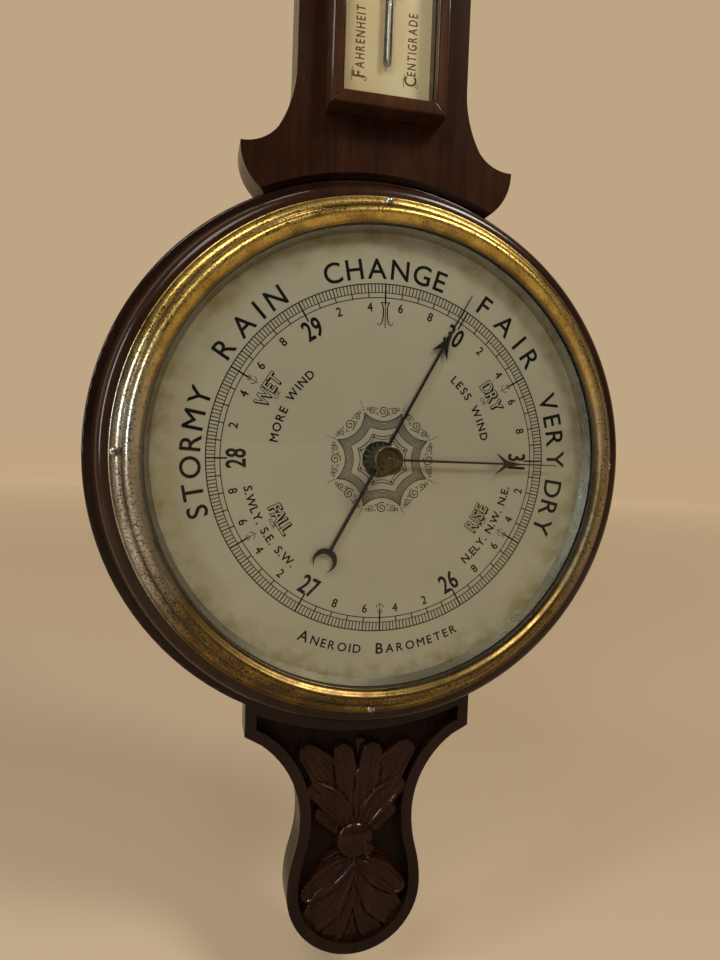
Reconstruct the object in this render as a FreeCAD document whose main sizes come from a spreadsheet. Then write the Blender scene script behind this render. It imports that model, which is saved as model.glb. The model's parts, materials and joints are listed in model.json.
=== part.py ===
import FreeCAD, Part
import math
import os

import Sketcher

# A banjo-shaped wall barometer: a round wooden board with a carved drop, a neck that carries a
# boxed thermometer, a head board, and an aneroid movement behind an eight-inch dial.
#
# Frame: the origin is on the dial's axis where it meets the wall. +X is to the right as seen
# from the front, +Y goes into the wall and +Z is up, so the front faces -Y. A "height" below
# is a distance out from the wall, and equals -Y.

SIZES = {
    # wooden boards
    "disc_radius": 132.0, "disc_front": 17.5, "edge_round": 1.5,
    "cavity_radius": 84.0, "cover_radius": 92.0, "cover_thick": 1.6,
    "ring_foot": 128.2, "ring_shoulder": 124.4, "ring_top_radius": 120.8, "ring_top": 35.1,
    "ring_bore": 98.5, "seat_radius": 105.4, "seat_top": 36.3,
    "board_front": 20.0, "neck_half": 41.2, "neck_top": 470.0, "edge_bevel": 2.2,
    "ear_foot": 54.5, "ear_tip": 65.9, "ear_tip_up": 142.0,
    "border": 5.5, "ground_depth": 6.0, "ground_arc": 134.5,
    "dowel_radius": 4.0, "dowel_spread": 30.0,
    # the drop below the dial
    "drop_block": 56.5, "drop_corner": 134.8, "drop_slope": 48.5, "drop_slope_out": 139.2,
    "drop_waist": 28.5, "drop_waist_out": 178.4, "drop_bulge": 33.9, "drop_bulge_out": 215.3,
    # the head above the neck
    "head_ear": 60.0, "head_ear_out": 493.0, "head_block": 50.0, "head_block_out": 506.0,
    "head_corner": 514.0, "head_slope": 43.0, "head_slope_out": 518.0,
    "head_waist": 26.0, "head_waist_out": 545.0, "head_bulge": 30.0, "head_bulge_out": 562.0,
    # bezel, glass and sight ring
    "bezel_radius": 118.6, "bezel_wall": 107.2, "bezel_lip": 104.0, "bezel_rim": 36.4,
    "cove_top": 111.8, "cove_top_high": 43.4, "bead_radius": 3.4, "bead_centre": 108.6,
    "bead_high": 44.6, "lip_high": 45.9, "lip_under": 45.3,
    "glass_radius": 106.8, "glass_front": 45.2, "glass_back": 42.6, "bevel_start": 100.5,
    "bevel_edge": 43.9, "sight_inner": 101.7, "sight_outer": 105.2, "sight_top": 103.8,
    "screw_circle": 116.2, "screw_seat": 37.5, "screw_head": 1.85, "screw_shank": 0.85,
    # dial, hands and spindle
    "dial_radius": 105.0, "dial_front": 37.5, "dial_hole": 8.4,
    "hand_low": 39.0, "hand_thick": 0.5, "hand_tip": 87.3, "hand_barb": 56.5, "hand_apex": 67.0,
    "hand_tail": 47.2, "crescent_centre": 52.4, "crescent_radius": 5.6, "hand_turn": 27.9,
    "set_low": 41.0, "set_tip": 87.0, "set_barb": 57.0, "set_apex": 66.5, "set_turn": 90.3,
    "spindle_radius": 1.5, "spindle_low": 40.7, "bush_radius": 2.55, "knob_radius": 6.5,
    "knob_low": 46.3, "knob_top": 53.5,
    # movement
    "base_radius": 50.0, "base_low": 4.0, "base_top": 6.0, "pillar_circle": 46.0,
    "capsule_radius": 34.0, "capsule_low": 8.0, "capsule_rim": 12.0, "capsule_top": 16.0,
    "wave_count": 4, "wave_height": 1.1, "sheet_thick": 0.5, "stud_radius": 3.0,
    "post_radius": 2.5, "post_top": 24.4, "spring_half": 15.0, "spring_thick": 1.0,
    "bracket_x": -42.0, "bracket_half": 5.0, "bracket_long": 20.0, "bracket_top": 19.4,
    "lever_low": 22.2, "lever_thick": 1.6, "lever_start": 7.0, "lever_end": 40.5,
    "rocker_x": 43.5, "rocker_high": 19.0, "rocker_radius": 1.0, "rocker_half": 18.0,
    "arm_at": 9.0, "chain_high": 31.4, "bridge_low": 26.6, "bridge_thick": 1.6,
    "bridge_reach": 41.0, "cock_low": 33.0, "cock_thick": 1.5, "cock_reach": 14.0,
    "arbor_radius": 0.9, "arbor_top": 40.0, "drum_radius": 1.15, "running_gap": 0.04,
    "hair_high": 29.4, "hair_wire": 0.3, "hair_pitch": 1.3, "hair_start": 2.2, "hair_turns": 5,
    # thermometer box
    "box_half": 27.5, "box_low": 159.0, "box_high": 429.0, "box_front": 33.0, "rail_wide": 6.0,
    "rail_round": 2.4, "groove_low": 27.4, "groove_high": 29.6, "groove_deep": 2.0,
    "plate_thick": 1.5, "tube_radius": 1.9, "tube_high": 24.0, "tube_low": 181.5,
    "tube_top": 410.0, "bulb_bore": 1.45, "bulb_top": 226.0, "thread_bore": 0.45,
    "reading_up": 322.0, "clip_thick": 0.4,
    # hanging plate
    "hanger_half": 12.0, "hanger_low": 524.0, "hanger_high": 576.0, "hanger_thick": 2.0,
    "hanger_hole": 4.5, "hanger_up": 562.0, "nail_radius": 8.5, "nail_depth": 10.0,
}

doc = FreeCAD.newDocument("aneroid_barometer")
sheet = doc.addObject("Spreadsheet::Sheet", "Sizes")
for row, (alias, number) in enumerate(SIZES.items(), start=1):
    sheet.set(f"A{row}", alias.replace("_", " "))
    sheet.set(f"B{row}", str(number))
    sheet.setAlias(f"B{row}", alias)
doc.recompute()


class Size:
    """A number that remembers the sheet expression it was worked out with."""

    def __init__(self, value, text):
        self.value, self.text = value, text

    def __add__(self, other):
        other = size(other)
        return Size(self.value + other.value, f"({self.text} + {other.text})")

    def __sub__(self, other):
        other = size(other)
        return Size(self.value - other.value, f"({self.text} - {other.text})")

    def __mul__(self, other):
        other = size(other)
        return Size(self.value * other.value, f"({self.text} * {other.text})")

    def __truediv__(self, other):
        other = size(other)
        return Size(self.value / other.value, f"({self.text} / {other.text})")

    def __radd__(self, other):
        return size(other) + self

    def __rsub__(self, other):
        return size(other) - self

    def __rmul__(self, other):
        return size(other) * self

    def __rtruediv__(self, other):
        return size(other) / self

    def __neg__(self):
        return Size(-self.value, f"(-1 * {self.text})")


def size(number):
    """Turns a plain number into a Size, and leaves a Size alone."""
    if isinstance(number, Size):
        return number
    return Size(float(number), f"({float(number)!r})")


class Sheet:
    """Gives each cell of the sheet as a Size, by its alias."""

    def __getattr__(self, alias):
        return Size(float(SIZES[alias]), f"Sizes.{alias}")


S = Sheet()
nodes = {}


def node(name, thing):
    """Names a finished piece; its file takes the same name."""
    thing.Label = name
    nodes[name] = thing
    return thing


def bind(thing, prop, number):
    thing.setExpression(prop, size(number).text)


# ---------------------------------------------------------------- sketches

def arc_centre(p, q, radius):
    """Centre of the arc from p to q, on the left of the way for a positive radius."""
    along = (q - p) / 2
    rise = math.sqrt(max(radius * radius - along.Length ** 2, 0.0))
    left = FreeCAD.Vector(-along.y, along.x, 0).normalize()
    return p + along + left * math.copysign(rise, radius)


def fix_point(sketch, shape, end, u, v):
    """Ties one end of a line or arc to its coordinates in the sketch."""
    for kind, number, axis in (("DistanceX", u, -2), ("DistanceY", v, -1)):
        if number.value == 0.0:
            sketch.addConstraint(Sketcher.Constraint("PointOnObject", shape, end, axis))
        else:
            tie = Sketcher.Constraint(kind, -1, 1, shape, end, number.value)
            bind(sketch, f"Constraints[{sketch.addConstraint(tie)}]", number)


def outline(sketch, path):
    """Draws a closed loop. Each point is (u, v), or (u, v, radius) when an arc leads to it."""
    path = [tuple(size(number) for number in point) for point in path]
    spots = [FreeCAD.Vector(point[0].value, point[1].value, 0) for point in path]
    drawn = []
    for index, point in enumerate(path):
        p, q = spots[index - 1], spots[index]
        if len(point) == 2:
            shape = sketch.addGeometry(Part.LineSegment(p, q), False)
            drawn.append((shape, 1, 2))
            continue
        radius = point[2]
        centre = arc_centre(p, q, radius.value)
        first, last = (p, q) if radius.value > 0 else (q, p)
        turn = [math.atan2(spot.y - centre.y, spot.x - centre.x) for spot in (first, last)]
        if turn[1] < turn[0]:
            turn[1] += 2 * math.pi
        circle = Part.Circle(centre, FreeCAD.Vector(0, 0, 1), abs(radius.value))
        shape = sketch.addGeometry(Part.ArcOfCircle(circle, *turn), False)
        drawn.append((shape, 1, 2) if radius.value > 0 else (shape, 2, 1))
        tie = Sketcher.Constraint("Radius", shape, abs(radius.value))
        bind(sketch, f"Constraints[{sketch.addConstraint(tie)}]",
             radius if radius.value > 0 else -radius)
    for index, (shape, start, end) in enumerate(drawn):
        before, before_start, before_end = drawn[index - 1]
        sketch.addConstraint(Sketcher.Constraint("Coincident", before, before_end, shape, start))
        fix_point(sketch, shape, end, *path[index][:2])


def hole(sketch, u, v, radius):
    """Draws a whole circle."""
    u, v, radius = size(u), size(v), size(radius)
    circle = Part.Circle(FreeCAD.Vector(u.value, v.value, 0), FreeCAD.Vector(0, 0, 1), radius.value)
    shape = sketch.addGeometry(circle, False)
    tie = Sketcher.Constraint("Radius", shape, radius.value)
    bind(sketch, f"Constraints[{sketch.addConstraint(tie)}]", radius)
    fix_point(sketch, shape, 3, u, v)


def mirrored(half):
    """Closes a right-hand half outline, from (0, a) to (0, b), with its mirror image."""
    left = []
    for index in range(len(half) - 1, 0, -1):
        start = half[index - 1]
        left.append((-size(start[0]), start[1], *half[index][2:]))
    return half[1:] + left


def new_body(name):
    return doc.addObject("PartDesign::Body", name)


def sketch_on(body, role, lift=0.0):
    """A sketch on one of the body's origin planes, moved along the plane's normal by lift."""
    sketch = body.newObject("Sketcher::SketchObject", body.Name + "_sketch")
    plane = next(item for item in body.Origin.OriginFeatures if item.Role == role)
    sketch.AttachmentSupport = [(plane, "")]
    sketch.MapMode = "FlatFace"
    bind(sketch, "AttachmentOffset.Base.z", lift)
    return sketch


def pad(body, path, low, high, role="XZ_Plane"):
    """Adds an outline to the body, from height low to height high."""
    sketch = sketch_on(body, role, low)
    outline(sketch, path)
    feature = body.newObject("PartDesign::Pad", body.Name + "_pad")
    feature.Profile = sketch
    bind(feature, "Length", size(high) - low)
    sketch.Visibility = False
    return feature


def pocket(body, draw, low, high, role="XZ_Plane"):
    """Cuts what draw(sketch) draws out of the body, from height low to height high."""
    doc.recompute()
    before = body.Shape.Volume
    sketch = sketch_on(body, role, low)
    draw(sketch)
    feature = body.newObject("PartDesign::Pocket", body.Name + "_pocket")
    feature.Profile = sketch
    feature.Reversed = True
    bind(feature, "Length", size(high) - low)
    body.Tip = feature
    doc.recompute()
    if body.Shape.Volume > before - 1e-3:
        raise RuntimeError(f"a pocket in {body.Name} cut nothing")
    return feature


def turned(body, profile):
    """Revolves a profile of (radius, height) points about the dial's axis."""
    sketch = sketch_on(body, "XY_Plane")
    outline(sketch, [(point[0], -size(point[1]), *(-size(bend) for bend in point[2:]))
                     for point in profile])
    feature = body.newObject("PartDesign::Revolution", body.Name + "_turning")
    feature.Profile = sketch
    feature.ReferenceAxis = (sketch, ["V_Axis"])
    feature.Angle = 360
    return feature


def turned_node(name, profile):
    body = new_body(name + "_body")
    turned(body, profile)
    return node(name, body)


def plate_node(name, path, low, high):
    body = new_body(name + "_body")
    pad(body, path, low, high)
    return node(name, body)


# ---------------------------------------------------------------- primitives

TURNS = {"out": ((1, 0, 0), 90), "up": ((0, 0, 1), 0), "across": ((0, 1, 0), 90)}


def place(thing, x, high, z, way="up"):
    """Puts a primitive's base at x, a height out from the wall and z, pointing one way."""
    axis, angle = TURNS[way]
    thing.Placement = FreeCAD.Placement(FreeCAD.Vector(), FreeCAD.Rotation(FreeCAD.Vector(*axis), angle))
    for name, number in (("x", x), ("y", -size(high)), ("z", z)):
        bind(thing, f"Placement.Base.{name}", number)
    return thing


def rod(radius, length, x, high, z, way="out"):
    thing = doc.addObject("Part::Cylinder", "rod")
    bind(thing, "Radius", radius)
    bind(thing, "Height", length)
    return place(thing, x, high, z, way)


def cone(radius, radius_top, length, x, high, z):
    thing = doc.addObject("Part::Cone", "cone")
    bind(thing, "Radius1", radius)
    bind(thing, "Radius2", radius_top)
    bind(thing, "Height", length)
    return place(thing, x, high, z, "out")


def block(x, wide, low, tall, z, long):
    """A box that starts at x and z, and stands from height low to low + tall."""
    thing = doc.addObject("Part::Box", "block")
    bind(thing, "Length", wide)
    bind(thing, "Width", tall)
    bind(thing, "Height", long)
    return place(thing, x, size(low) + tall, z)


QUARTERS = ((0, 1), (1, 0), (0, -1), (-1, 0))


def quarter_rods(circle, radius, low, length):
    """Four rods, one on each quarter of a circle about the dial's axis."""
    return [rod(radius, length, circle * across, low, circle * up) for across, up in QUARTERS]


def fuse(*things):
    thing = doc.addObject("Part::MultiFuse", "joined")
    thing.Shapes = list(things)
    return thing


def cut(base, *tools):
    thing = doc.addObject("Part::Cut", "cut_piece")
    thing.Base = base
    thing.Tool = tools[0] if len(tools) == 1 else fuse(*tools)
    return thing


def group(name, things):
    """One node that holds several separate solids."""
    thing = doc.addObject("Part::Compound", name + "_group")
    thing.Links = list(things)
    return node(name, thing)


# ---------------------------------------------------------------- wooden boards

def crest(block_half, corner, slope, slope_out, waist, waist_out, bulge, bulge_out, root, inset=0.0):
    """Right-hand outline of a carved end: block, hollow shoulder, waist and round end.

    It runs outwards from the dial, and inset moves the whole outline inwards by a border.
    """
    hollow = ((slope - waist) * (slope - waist) + (waist_out - slope_out) * (waist_out - slope_out))
    hollow = hollow / (2 * (slope - waist))
    share = 1 + inset / hollow
    drop_x, drop_out = (waist + hollow - slope) * share, (waist_out - slope_out) * share
    step, rise = bulge - waist, bulge_out - waist_out
    sway = (step * step + rise * rise) / (4 * step)
    return [
        (block_half - inset, root),
        (block_half - inset, corner - inset * 0.58),
        (waist + hollow - drop_x, waist_out - drop_out),
        (waist - inset, waist_out, -(hollow + inset)),
        (waist - inset + step / 2, waist_out + rise / 2, -sway),
        (bulge - inset, bulge_out, sway),
        (0, bulge_out + bulge - inset, bulge - inset),
    ]


def downwards(half):
    """Turns an upward outline into a downward one."""
    return [(point[0], -size(point[1]), *(-size(bend) for bend in point[2:])) for point in half]


def drop_sizes():
    return (S.drop_block, S.drop_corner, S.drop_slope, S.drop_slope_out, S.drop_waist,
            S.drop_waist_out, S.drop_bulge, S.drop_bulge_out)


def head_sizes():
    return (S.head_block, S.head_corner, S.head_slope, S.head_slope_out, S.head_waist,
            S.head_waist_out, S.head_bulge, S.head_bulge_out)


def dowel_rods():
    """Two dowels join disc and neck, and two join neck and head."""
    rods = []
    for side in (-1, 1):
        for start in (S.disc_radius - 14, S.neck_top - 14):
            rods.append(rod(S.dowel_radius, 32, side * S.dowel_spread, 9, start, "up"))
    return rods


def case_board():
    root = S.cavity_radius + 18
    body = new_body("case_board_body")
    turned(body, [
        (S.cover_radius, 0), (S.disc_radius, 0), (S.disc_radius, S.disc_front - S.edge_round),
        (S.disc_radius - S.edge_round, S.disc_front, S.edge_round),
        (S.cavity_radius, S.disc_front), (S.cavity_radius, S.cover_thick),
        (S.cover_radius, S.cover_thick),
    ])
    drop = [(0, root)] + crest(*drop_sizes(), root)
    pad(body, mirrored(downwards(drop)), 0, S.disc_front)
    ground = crest(*drop_sizes(), 0, inset=S.border)
    reach = S.drop_block - S.border
    arc_end = math.sqrt(SIZES["ground_arc"] ** 2 - reach.value ** 2)
    ground[0] = (reach, arc_end, -S.ground_arc)
    ground = downwards([(0, S.ground_arc)] + ground)
    pocket(body, lambda sketch: outline(sketch, mirrored(ground)),
           S.disc_front - S.ground_depth, S.disc_front)
    return node("case_board", cut(body, *cover_screw_rods(), *dowel_rods()))


def dial_ring():
    body = new_body("dial_ring_body")
    turned(body, [
        (S.ring_bore, S.disc_front), (S.ring_foot, S.disc_front), (S.ring_foot, S.disc_front + 1.2),
        (S.ring_shoulder, S.ring_top - 4.2), (S.ring_top_radius, S.ring_top, 4.4),
        (S.seat_radius, S.ring_top), (S.seat_radius, S.seat_top), (S.ring_bore, S.seat_top),
    ])
    node("dial_ring", cut(body, *quarter_rods(S.screw_circle, S.screw_shank, S.ring_top - 10, 11)))


def neck_board():
    body = new_body("neck_board_body")
    foot_up = math.sqrt(SIZES["disc_radius"] ** 2 - SIZES["ear_foot"] ** 2)
    pad(body, mirrored([
        (0, S.disc_radius), (S.ear_foot, foot_up, -S.disc_radius), (S.ear_tip, S.ear_tip_up, 25),
        (S.neck_half + 7.7, S.ear_tip_up + 8, -20), (S.neck_half, S.ear_tip_up + 36, -54.8),
        (S.neck_half, S.neck_top), (0, S.neck_top),
    ]), 0, S.board_front)
    doc.recompute()
    before = body.Shape.Volume
    sketch = sketch_on(body, "XY_Plane")
    outline(sketch, [
        (S.disc_radius - 1, -S.disc_front), (S.disc_radius, -S.disc_front),
        (S.disc_radius + S.edge_bevel, -S.board_front - 0.1), (S.disc_radius - 1, -S.board_front - 0.1),
    ])
    bevel = body.newObject("PartDesign::Groove", "neck_bevel")
    bevel.Profile = sketch
    bevel.ReferenceAxis = (sketch, ["V_Axis"])
    bevel.Angle = 360
    doc.recompute()
    if body.Shape.Volume > before - 1e-3:
        raise RuntimeError("the neck's bevel cut nothing")
    node("neck_board", cut(body, *dowel_rods()))


def head_board():
    body = new_body("head_board_body")
    ears = [(0, S.neck_top), (S.neck_half, S.neck_top), (S.head_ear, S.head_ear_out, -23.5),
            (S.head_block, S.head_block_out, 16)]
    pad(body, mirrored(ears + crest(*head_sizes(), S.head_block_out)[1:]), 0, S.board_front)
    floor = S.head_block_out - 6
    ground = [(0, floor)] + crest(*head_sizes(), floor, inset=S.border)
    pocket(body, lambda sketch: outline(sketch, mirrored(ground)),
           S.board_front - S.ground_depth, S.board_front)
    seat = [(-S.hanger_half, S.hanger_low), (S.hanger_half, S.hanger_low),
            (S.hanger_half, S.hanger_high), (-S.hanger_half, S.hanger_high)]
    pocket(body, lambda sketch: outline(sketch, seat), 0, S.hanger_thick)
    pocket(body, lambda sketch: hole(sketch, 0, S.hanger_up, S.nail_radius), 0, S.nail_depth)
    node("head_board", cut(body, *hanger_screw_rods(), *dowel_rods()))


def leaf(name, half, low, high):
    """A plain blank of a carved leaf, from its right-hand outline."""
    plate_node(name, mirrored(half), low, high)


def carvings():
    low = S.disc_front - S.ground_depth
    leaf("drop_leaf_upper", [
        (0, -181.2), (11, -183), (19.5, -175), (21.5, -169, 8), (24.3, -161.5), (20, -160, 4),
        (27.5, -150, -40), (28.5, -141.5, 9), (20, -139.6, 12), (12.5, -143.5), (6, -140.8, 7),
        (0, -146),
    ], low, low + 6.5)
    turned_drop = new_body("drop_boss_body")
    turned(turned_drop, [(0, low), (9.8, low), (9.8, low + 3.5), (0, low + 8.5, 11)])
    bind(turned_drop, "Placement.Base.z", -S.drop_waist_out - 12.9)
    node("drop_boss", turned_drop)
    leaf("drop_leaf_lower", [
        (0, -242.5), (14, -236.5, 28), (19, -233.5, 8), (24.5, -222, 30), (23, -213, 12),
        (16, -206.5, 12), (8.5, -202.5), (0, -203.5),
    ], low, low + 6)
    head_low = S.board_front - S.ground_depth
    leaf("head_leaf", [
        (0, 506), (10, 507), (22, 509), (31, 514, 16), (29, 519, 6), (20.5, 524, -24),
        (16.5, 535), (19.5, 545, -30), (20.5, 556, 14), (15, 567, 18), (9, 566), (0, 580, 24),
    ], head_low, head_low + 6)


# ---------------------------------------------------------------- bezel and glass

def bezel():
    body = new_body("bezel_body")
    turned(body, [
        (S.bezel_wall, S.ring_top), (S.bezel_radius, S.ring_top), (S.bezel_radius, S.bezel_rim - 0.6),
        (S.bezel_radius - 0.6, S.bezel_rim, 0.6), (S.cove_top, S.cove_top_high, -9),
        (S.bead_centre, S.bead_high + S.bead_radius, S.bead_radius),
        (S.bead_centre - 2.4, S.bead_high + 2.4, S.bead_radius),
        (S.bezel_lip, S.lip_high), (S.bezel_lip, S.lip_under), (S.bezel_wall, S.lip_under),
    ])
    shanks = quarter_rods(S.screw_circle, S.screw_shank, S.ring_top - 1, 9)
    seats = quarter_rods(S.screw_circle, S.screw_head + 0.1, S.screw_seat, 7)
    node("bezel", cut(body, *shanks, *seats))


def round_screws(name, circle, seat, head, shank, length, head_tall=1.1):
    """Four slotted round-head screws, on the dial's four quarters."""
    screws = []
    for across, up in QUARTERS:
        x, z = circle * across, circle * up
        stem = rod(shank, length, x, seat - length, z)
        dome = doc.addObject("Part::Sphere", "dome")
        bind(dome, "Radius", head)
        place(dome, x, seat, z)
        keep = rod(head + 1, head_tall, x, seat, z)
        cap = doc.addObject("Part::Common", "cap")
        cap.Base, cap.Tool = dome, keep
        slot = block(x - 0.3, 0.6, seat + head_tall - 0.7, 1.2, z - head - 1, 2 * head + 2)
        screws.append(cut(fuse(stem, cap), slot))
    return group(name, screws)


def glazing():
    turned_node("dial_glass", [
        (S.bush_radius, S.glass_back), (S.glass_radius, S.glass_back),
        (S.glass_radius, S.bevel_edge), (S.bevel_start, S.glass_front),
        (S.bush_radius, S.glass_front),
    ])
    fall = (S.glass_front - S.bevel_edge) / (S.glass_radius - S.bevel_start)
    packing_in = S.bezel_lip - 0.5
    turned_node("glass_packing", [
        (packing_in, S.glass_front - (packing_in - S.bevel_start) * fall + 0.03),
        (S.bezel_wall - 0.05, S.bevel_edge - 0.05), (S.bezel_wall - 0.05, S.lip_under - 0.02),
        (packing_in, S.lip_under - 0.02),
    ])
    sight_high = S.glass_back - 0.05
    turned_node("sight_ring", [
        (S.sight_inner, S.dial_front), (S.sight_outer, S.dial_front),
        (S.sight_outer, S.dial_front + 0.7), (S.sight_inner + 1, S.dial_front + 0.7),
        (S.sight_top + 0.8, sight_high), (S.sight_top, sight_high),
    ])
    turned_node("glass_bush", [
        (S.spindle_radius + S.running_gap, S.glass_back - 0.8), (S.bush_radius, S.glass_back - 0.8),
        (S.bush_radius, S.glass_front), (S.bush_radius + 1.8, S.glass_front),
        (S.bush_radius + 1.5, S.glass_front + 0.7), (S.spindle_radius + S.running_gap, S.glass_front + 0.7),
    ])
    turned_node("bush_nut", [
        (S.bush_radius, S.glass_back - 0.7), (S.bush_radius + 1.6, S.glass_back - 0.7),
        (S.bush_radius + 1.6, S.glass_back), (S.bush_radius, S.glass_back),
    ])


# ---------------------------------------------------------------- hands and dial

def arrow(barb, apex, tip, half, foot):
    """Right-hand outline of a hand's front end: thin rod, swept barbs and long thin point."""
    return [
        (0, foot), (half, foot), (half * 0.8, barb + 3.2), (4.3, barb - 1.4), (1.3, apex - 4.5, -14),
        (0.35, apex + 1), (0.2, tip - 0.4), (0, tip),
    ]


def hands():
    indicating = new_body("indicating_hand_body")
    pad(indicating, mirrored(arrow(S.hand_barb, S.hand_apex, S.hand_tip, size(0.75), -S.hand_tail)),
        S.hand_low, S.hand_low + S.hand_thick)
    moon_low, moon = S.crescent_centre, S.crescent_radius
    hollow_centre, hollow = moon_low + 1.5, moon - 1.2
    meet = ((moon * moon) - (hollow * hollow) + 2.25) / 3
    half = math.sqrt(SIZES["crescent_radius"] ** 2 - meet.value ** 2)
    pad(indicating, mirrored([
        (0, -(moon_low - moon)), (moon, -moon_low, -moon), (half, -(moon_low + meet), -moon),
        (hollow, -hollow_centre, hollow), (0, -(hollow_centre - hollow), hollow),
    ]), S.hand_low, S.hand_low + S.hand_thick)
    pad(indicating, mirrored([(0, -3), (3, 0, 3), (0, 3, 3)]), S.hand_low, S.hand_low + S.hand_thick)
    pocket(indicating, lambda sketch: hole(sketch, 0, 0, S.arbor_radius),
           S.hand_low - 0.1, S.hand_low + S.hand_thick + 0.1)
    turn_about_dial(indicating, S.hand_turn)
    node("indicating_hand", indicating)
    turned_node("hand_collet", [
        (S.arbor_radius, S.hand_low - 0.8), (2.2, S.hand_low - 0.8), (2.2, S.hand_low),
        (S.arbor_radius, S.hand_low),
    ])
    setting = new_body("set_hand_body")
    pad(setting, mirrored(arrow(S.set_barb, S.set_apex, S.set_tip, size(0.6), size(2.5))),
        S.set_low, S.set_low + S.hand_thick)
    pad(setting, mirrored([(0, -3.4), (3.4, 0, 3.4), (0, 3.4, 3.4)]), S.set_low, S.set_low + S.hand_thick)
    pocket(setting, lambda sketch: hole(sketch, 0, 0, S.spindle_radius),
           S.set_low - 0.1, S.set_low + S.hand_thick + 0.1)
    turn_about_dial(setting, S.set_turn)
    node("set_hand", setting)
    turned_node("set_hand_knob", [
        (0, S.spindle_low), (S.spindle_radius, S.spindle_low), (S.spindle_radius, S.knob_low),
        (S.knob_radius - 1.2, S.knob_low), (S.knob_radius, S.knob_low + 1.2, 1.2),
        (S.knob_radius, S.knob_top - 1.2), (S.knob_radius - 1.2, S.knob_top, 1.2),
        (0, S.knob_top),
    ])


def turn_about_dial(body, angle):
    """Turns a piece clockwise, as seen from the front."""
    body.Placement = FreeCAD.Placement(FreeCAD.Vector(), FreeCAD.Rotation(FreeCAD.Vector(0, 1, 0), 1))
    bind(body, "Placement.Rotation.Angle", angle)


def dial():
    turned_node("dial_plate", [
        (S.dial_hole, S.seat_top), (S.dial_radius, S.seat_top), (S.dial_radius, S.dial_front),
        (S.dial_hole, S.dial_front),
    ])
    pillars = []
    for angle in (60, 120, 240, 300):
        x = S.pillar_circle * math.cos(math.radians(angle))
        z = S.pillar_circle * math.sin(math.radians(angle))
        pillars.append(rod(2.5, S.seat_top - S.base_top, x, S.base_top, z))
    group("dial_pillars", pillars)


# ---------------------------------------------------------------- movement

def capsule_half(name, low_side):
    """One corrugated diaphragm: a thin turned sheet in rings, joined to the other at the rim."""
    way = -1 if low_side else 1
    face = S.capsule_rim + way * (S.capsule_rim - S.capsule_low)
    inner, pitch = S.stud_radius + 4, (S.capsule_radius - S.stud_radius - 8) / (2 * S.wave_count)
    bend = (pitch * pitch + S.wave_height * S.wave_height) / (2 * S.wave_height)
    outer_path, inner_path = [], []
    for index in range(2 * SIZES["wave_count"] + 1):
        radius = inner + pitch * index
        dip = S.wave_height * (0.5 if index % 2 else -0.5)
        outer_path.append((radius, face - way * 0.55 + dip))
        inner_path.append((radius, face - way * (S.sheet_thick + 0.55) + dip))
    centre_out, centre_in = face, face - way * S.sheet_thick
    rim = S.capsule_radius
    profile = [(0, centre_out), (inner - 1.5, centre_out)] + outer_path + [
        (rim - 1, S.capsule_rim + way * 1.2), (rim, S.capsule_rim + way * 0.8), (rim, S.capsule_rim),
        (rim - 2, S.capsule_rim), (rim - 2, S.capsule_rim + way * 0.5),
    ] + inner_path[::-1] + [(inner - 1.7, centre_in), (0, centre_in)]
    turned_node(name, profile)


def capsule():
    capsule_half("capsule_back", True)
    capsule_half("capsule_front", False)
    node("capsule_stud", rod(S.stud_radius, S.capsule_low - 2.2, 0, 2.2, 0))
    turned_node("capsule_nut", [
        (S.stud_radius, S.base_low - 1.5), (S.stud_radius + 3, S.base_low - 1.5),
        (S.stud_radius + 3, S.base_low), (S.stud_radius, S.base_low),
    ])
    post = rod(S.post_radius, S.post_top - S.capsule_top, 0, S.capsule_top, 0)
    pin = rod(0.8, 9, 0, S.lever_low + 0.8, -4.5, "up")
    node("capsule_post", fuse(post, pin))


def main_spring():
    """A stiff leaf that starts on its bracket, arches over the capsule and carries the post."""
    body = new_body("main_spring_body")
    top, thick = -S.bracket_top, S.spring_thick
    arch = S.lever_low - thick
    start, flat, end = S.bracket_x - S.bracket_half, S.bracket_x + S.bracket_half, S.lever_start + 6
    sketch = sketch_on(body, "XY_Plane", -S.spring_half)
    outline(sketch, [
        (start, top), (flat, top), (-12, -arch, 60), (end, -arch), (end, -arch - thick),
        (-12, -arch - thick), (flat, top - thick, -60), (start, top - thick),
    ])
    feature = body.newObject("PartDesign::Pad", "main_spring_pad")
    feature.Profile = sketch
    bind(feature, "Length", 2 * S.spring_half)
    slot = [(-3, -3.2), (3, -3.2), (3, 3.2), (-3, 3.2)]
    pocket(body, lambda sketch: outline(sketch, slot), S.capsule_top, S.bridge_low)
    screws = spring_screw_rods(S.bracket_top, thick)
    node("main_spring", cut(body, *screws))


def spring_screw_rods(low, length):
    return [rod(1.2, length, S.bracket_x, low, side * 10) for side in (-1, 1)]


def spring_bracket():
    """The bridge that the leaf is screwed to; the adjusting screw stands in its middle."""
    body = block(S.bracket_x - S.bracket_half, 2 * S.bracket_half, S.base_top,
                 S.bracket_top - S.base_top, -S.bracket_long, 2 * S.bracket_long)
    well = rod(2.05, S.bracket_top - S.base_top - 4, S.bracket_x, S.base_top, 0)
    node("spring_bracket", cut(body, well, *spring_screw_rods(S.bracket_top - 8, 8)))
    screws = []
    for side in (-1, 1):
        stem = rod(1.2, 8 + S.spring_thick, S.bracket_x, S.bracket_top - 8, side * 10)
        head = rod(2.2, 1.2, S.bracket_x, S.bracket_top + S.spring_thick, side * 10)
        screws.append(fuse(stem, head))
    group("spring_screws", screws)
    head = rod(3.2, 1.4, S.bracket_x, 2.2, 0)
    stem = rod(2.0, S.bracket_top - 4.6 - 2.2, S.bracket_x, 2.2, 0)
    slot = block(S.bracket_x - 4, 8, 2.1, 0.7, -0.4, 0.8)
    node("adjusting_screw", cut(fuse(head, stem), slot))


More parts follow.
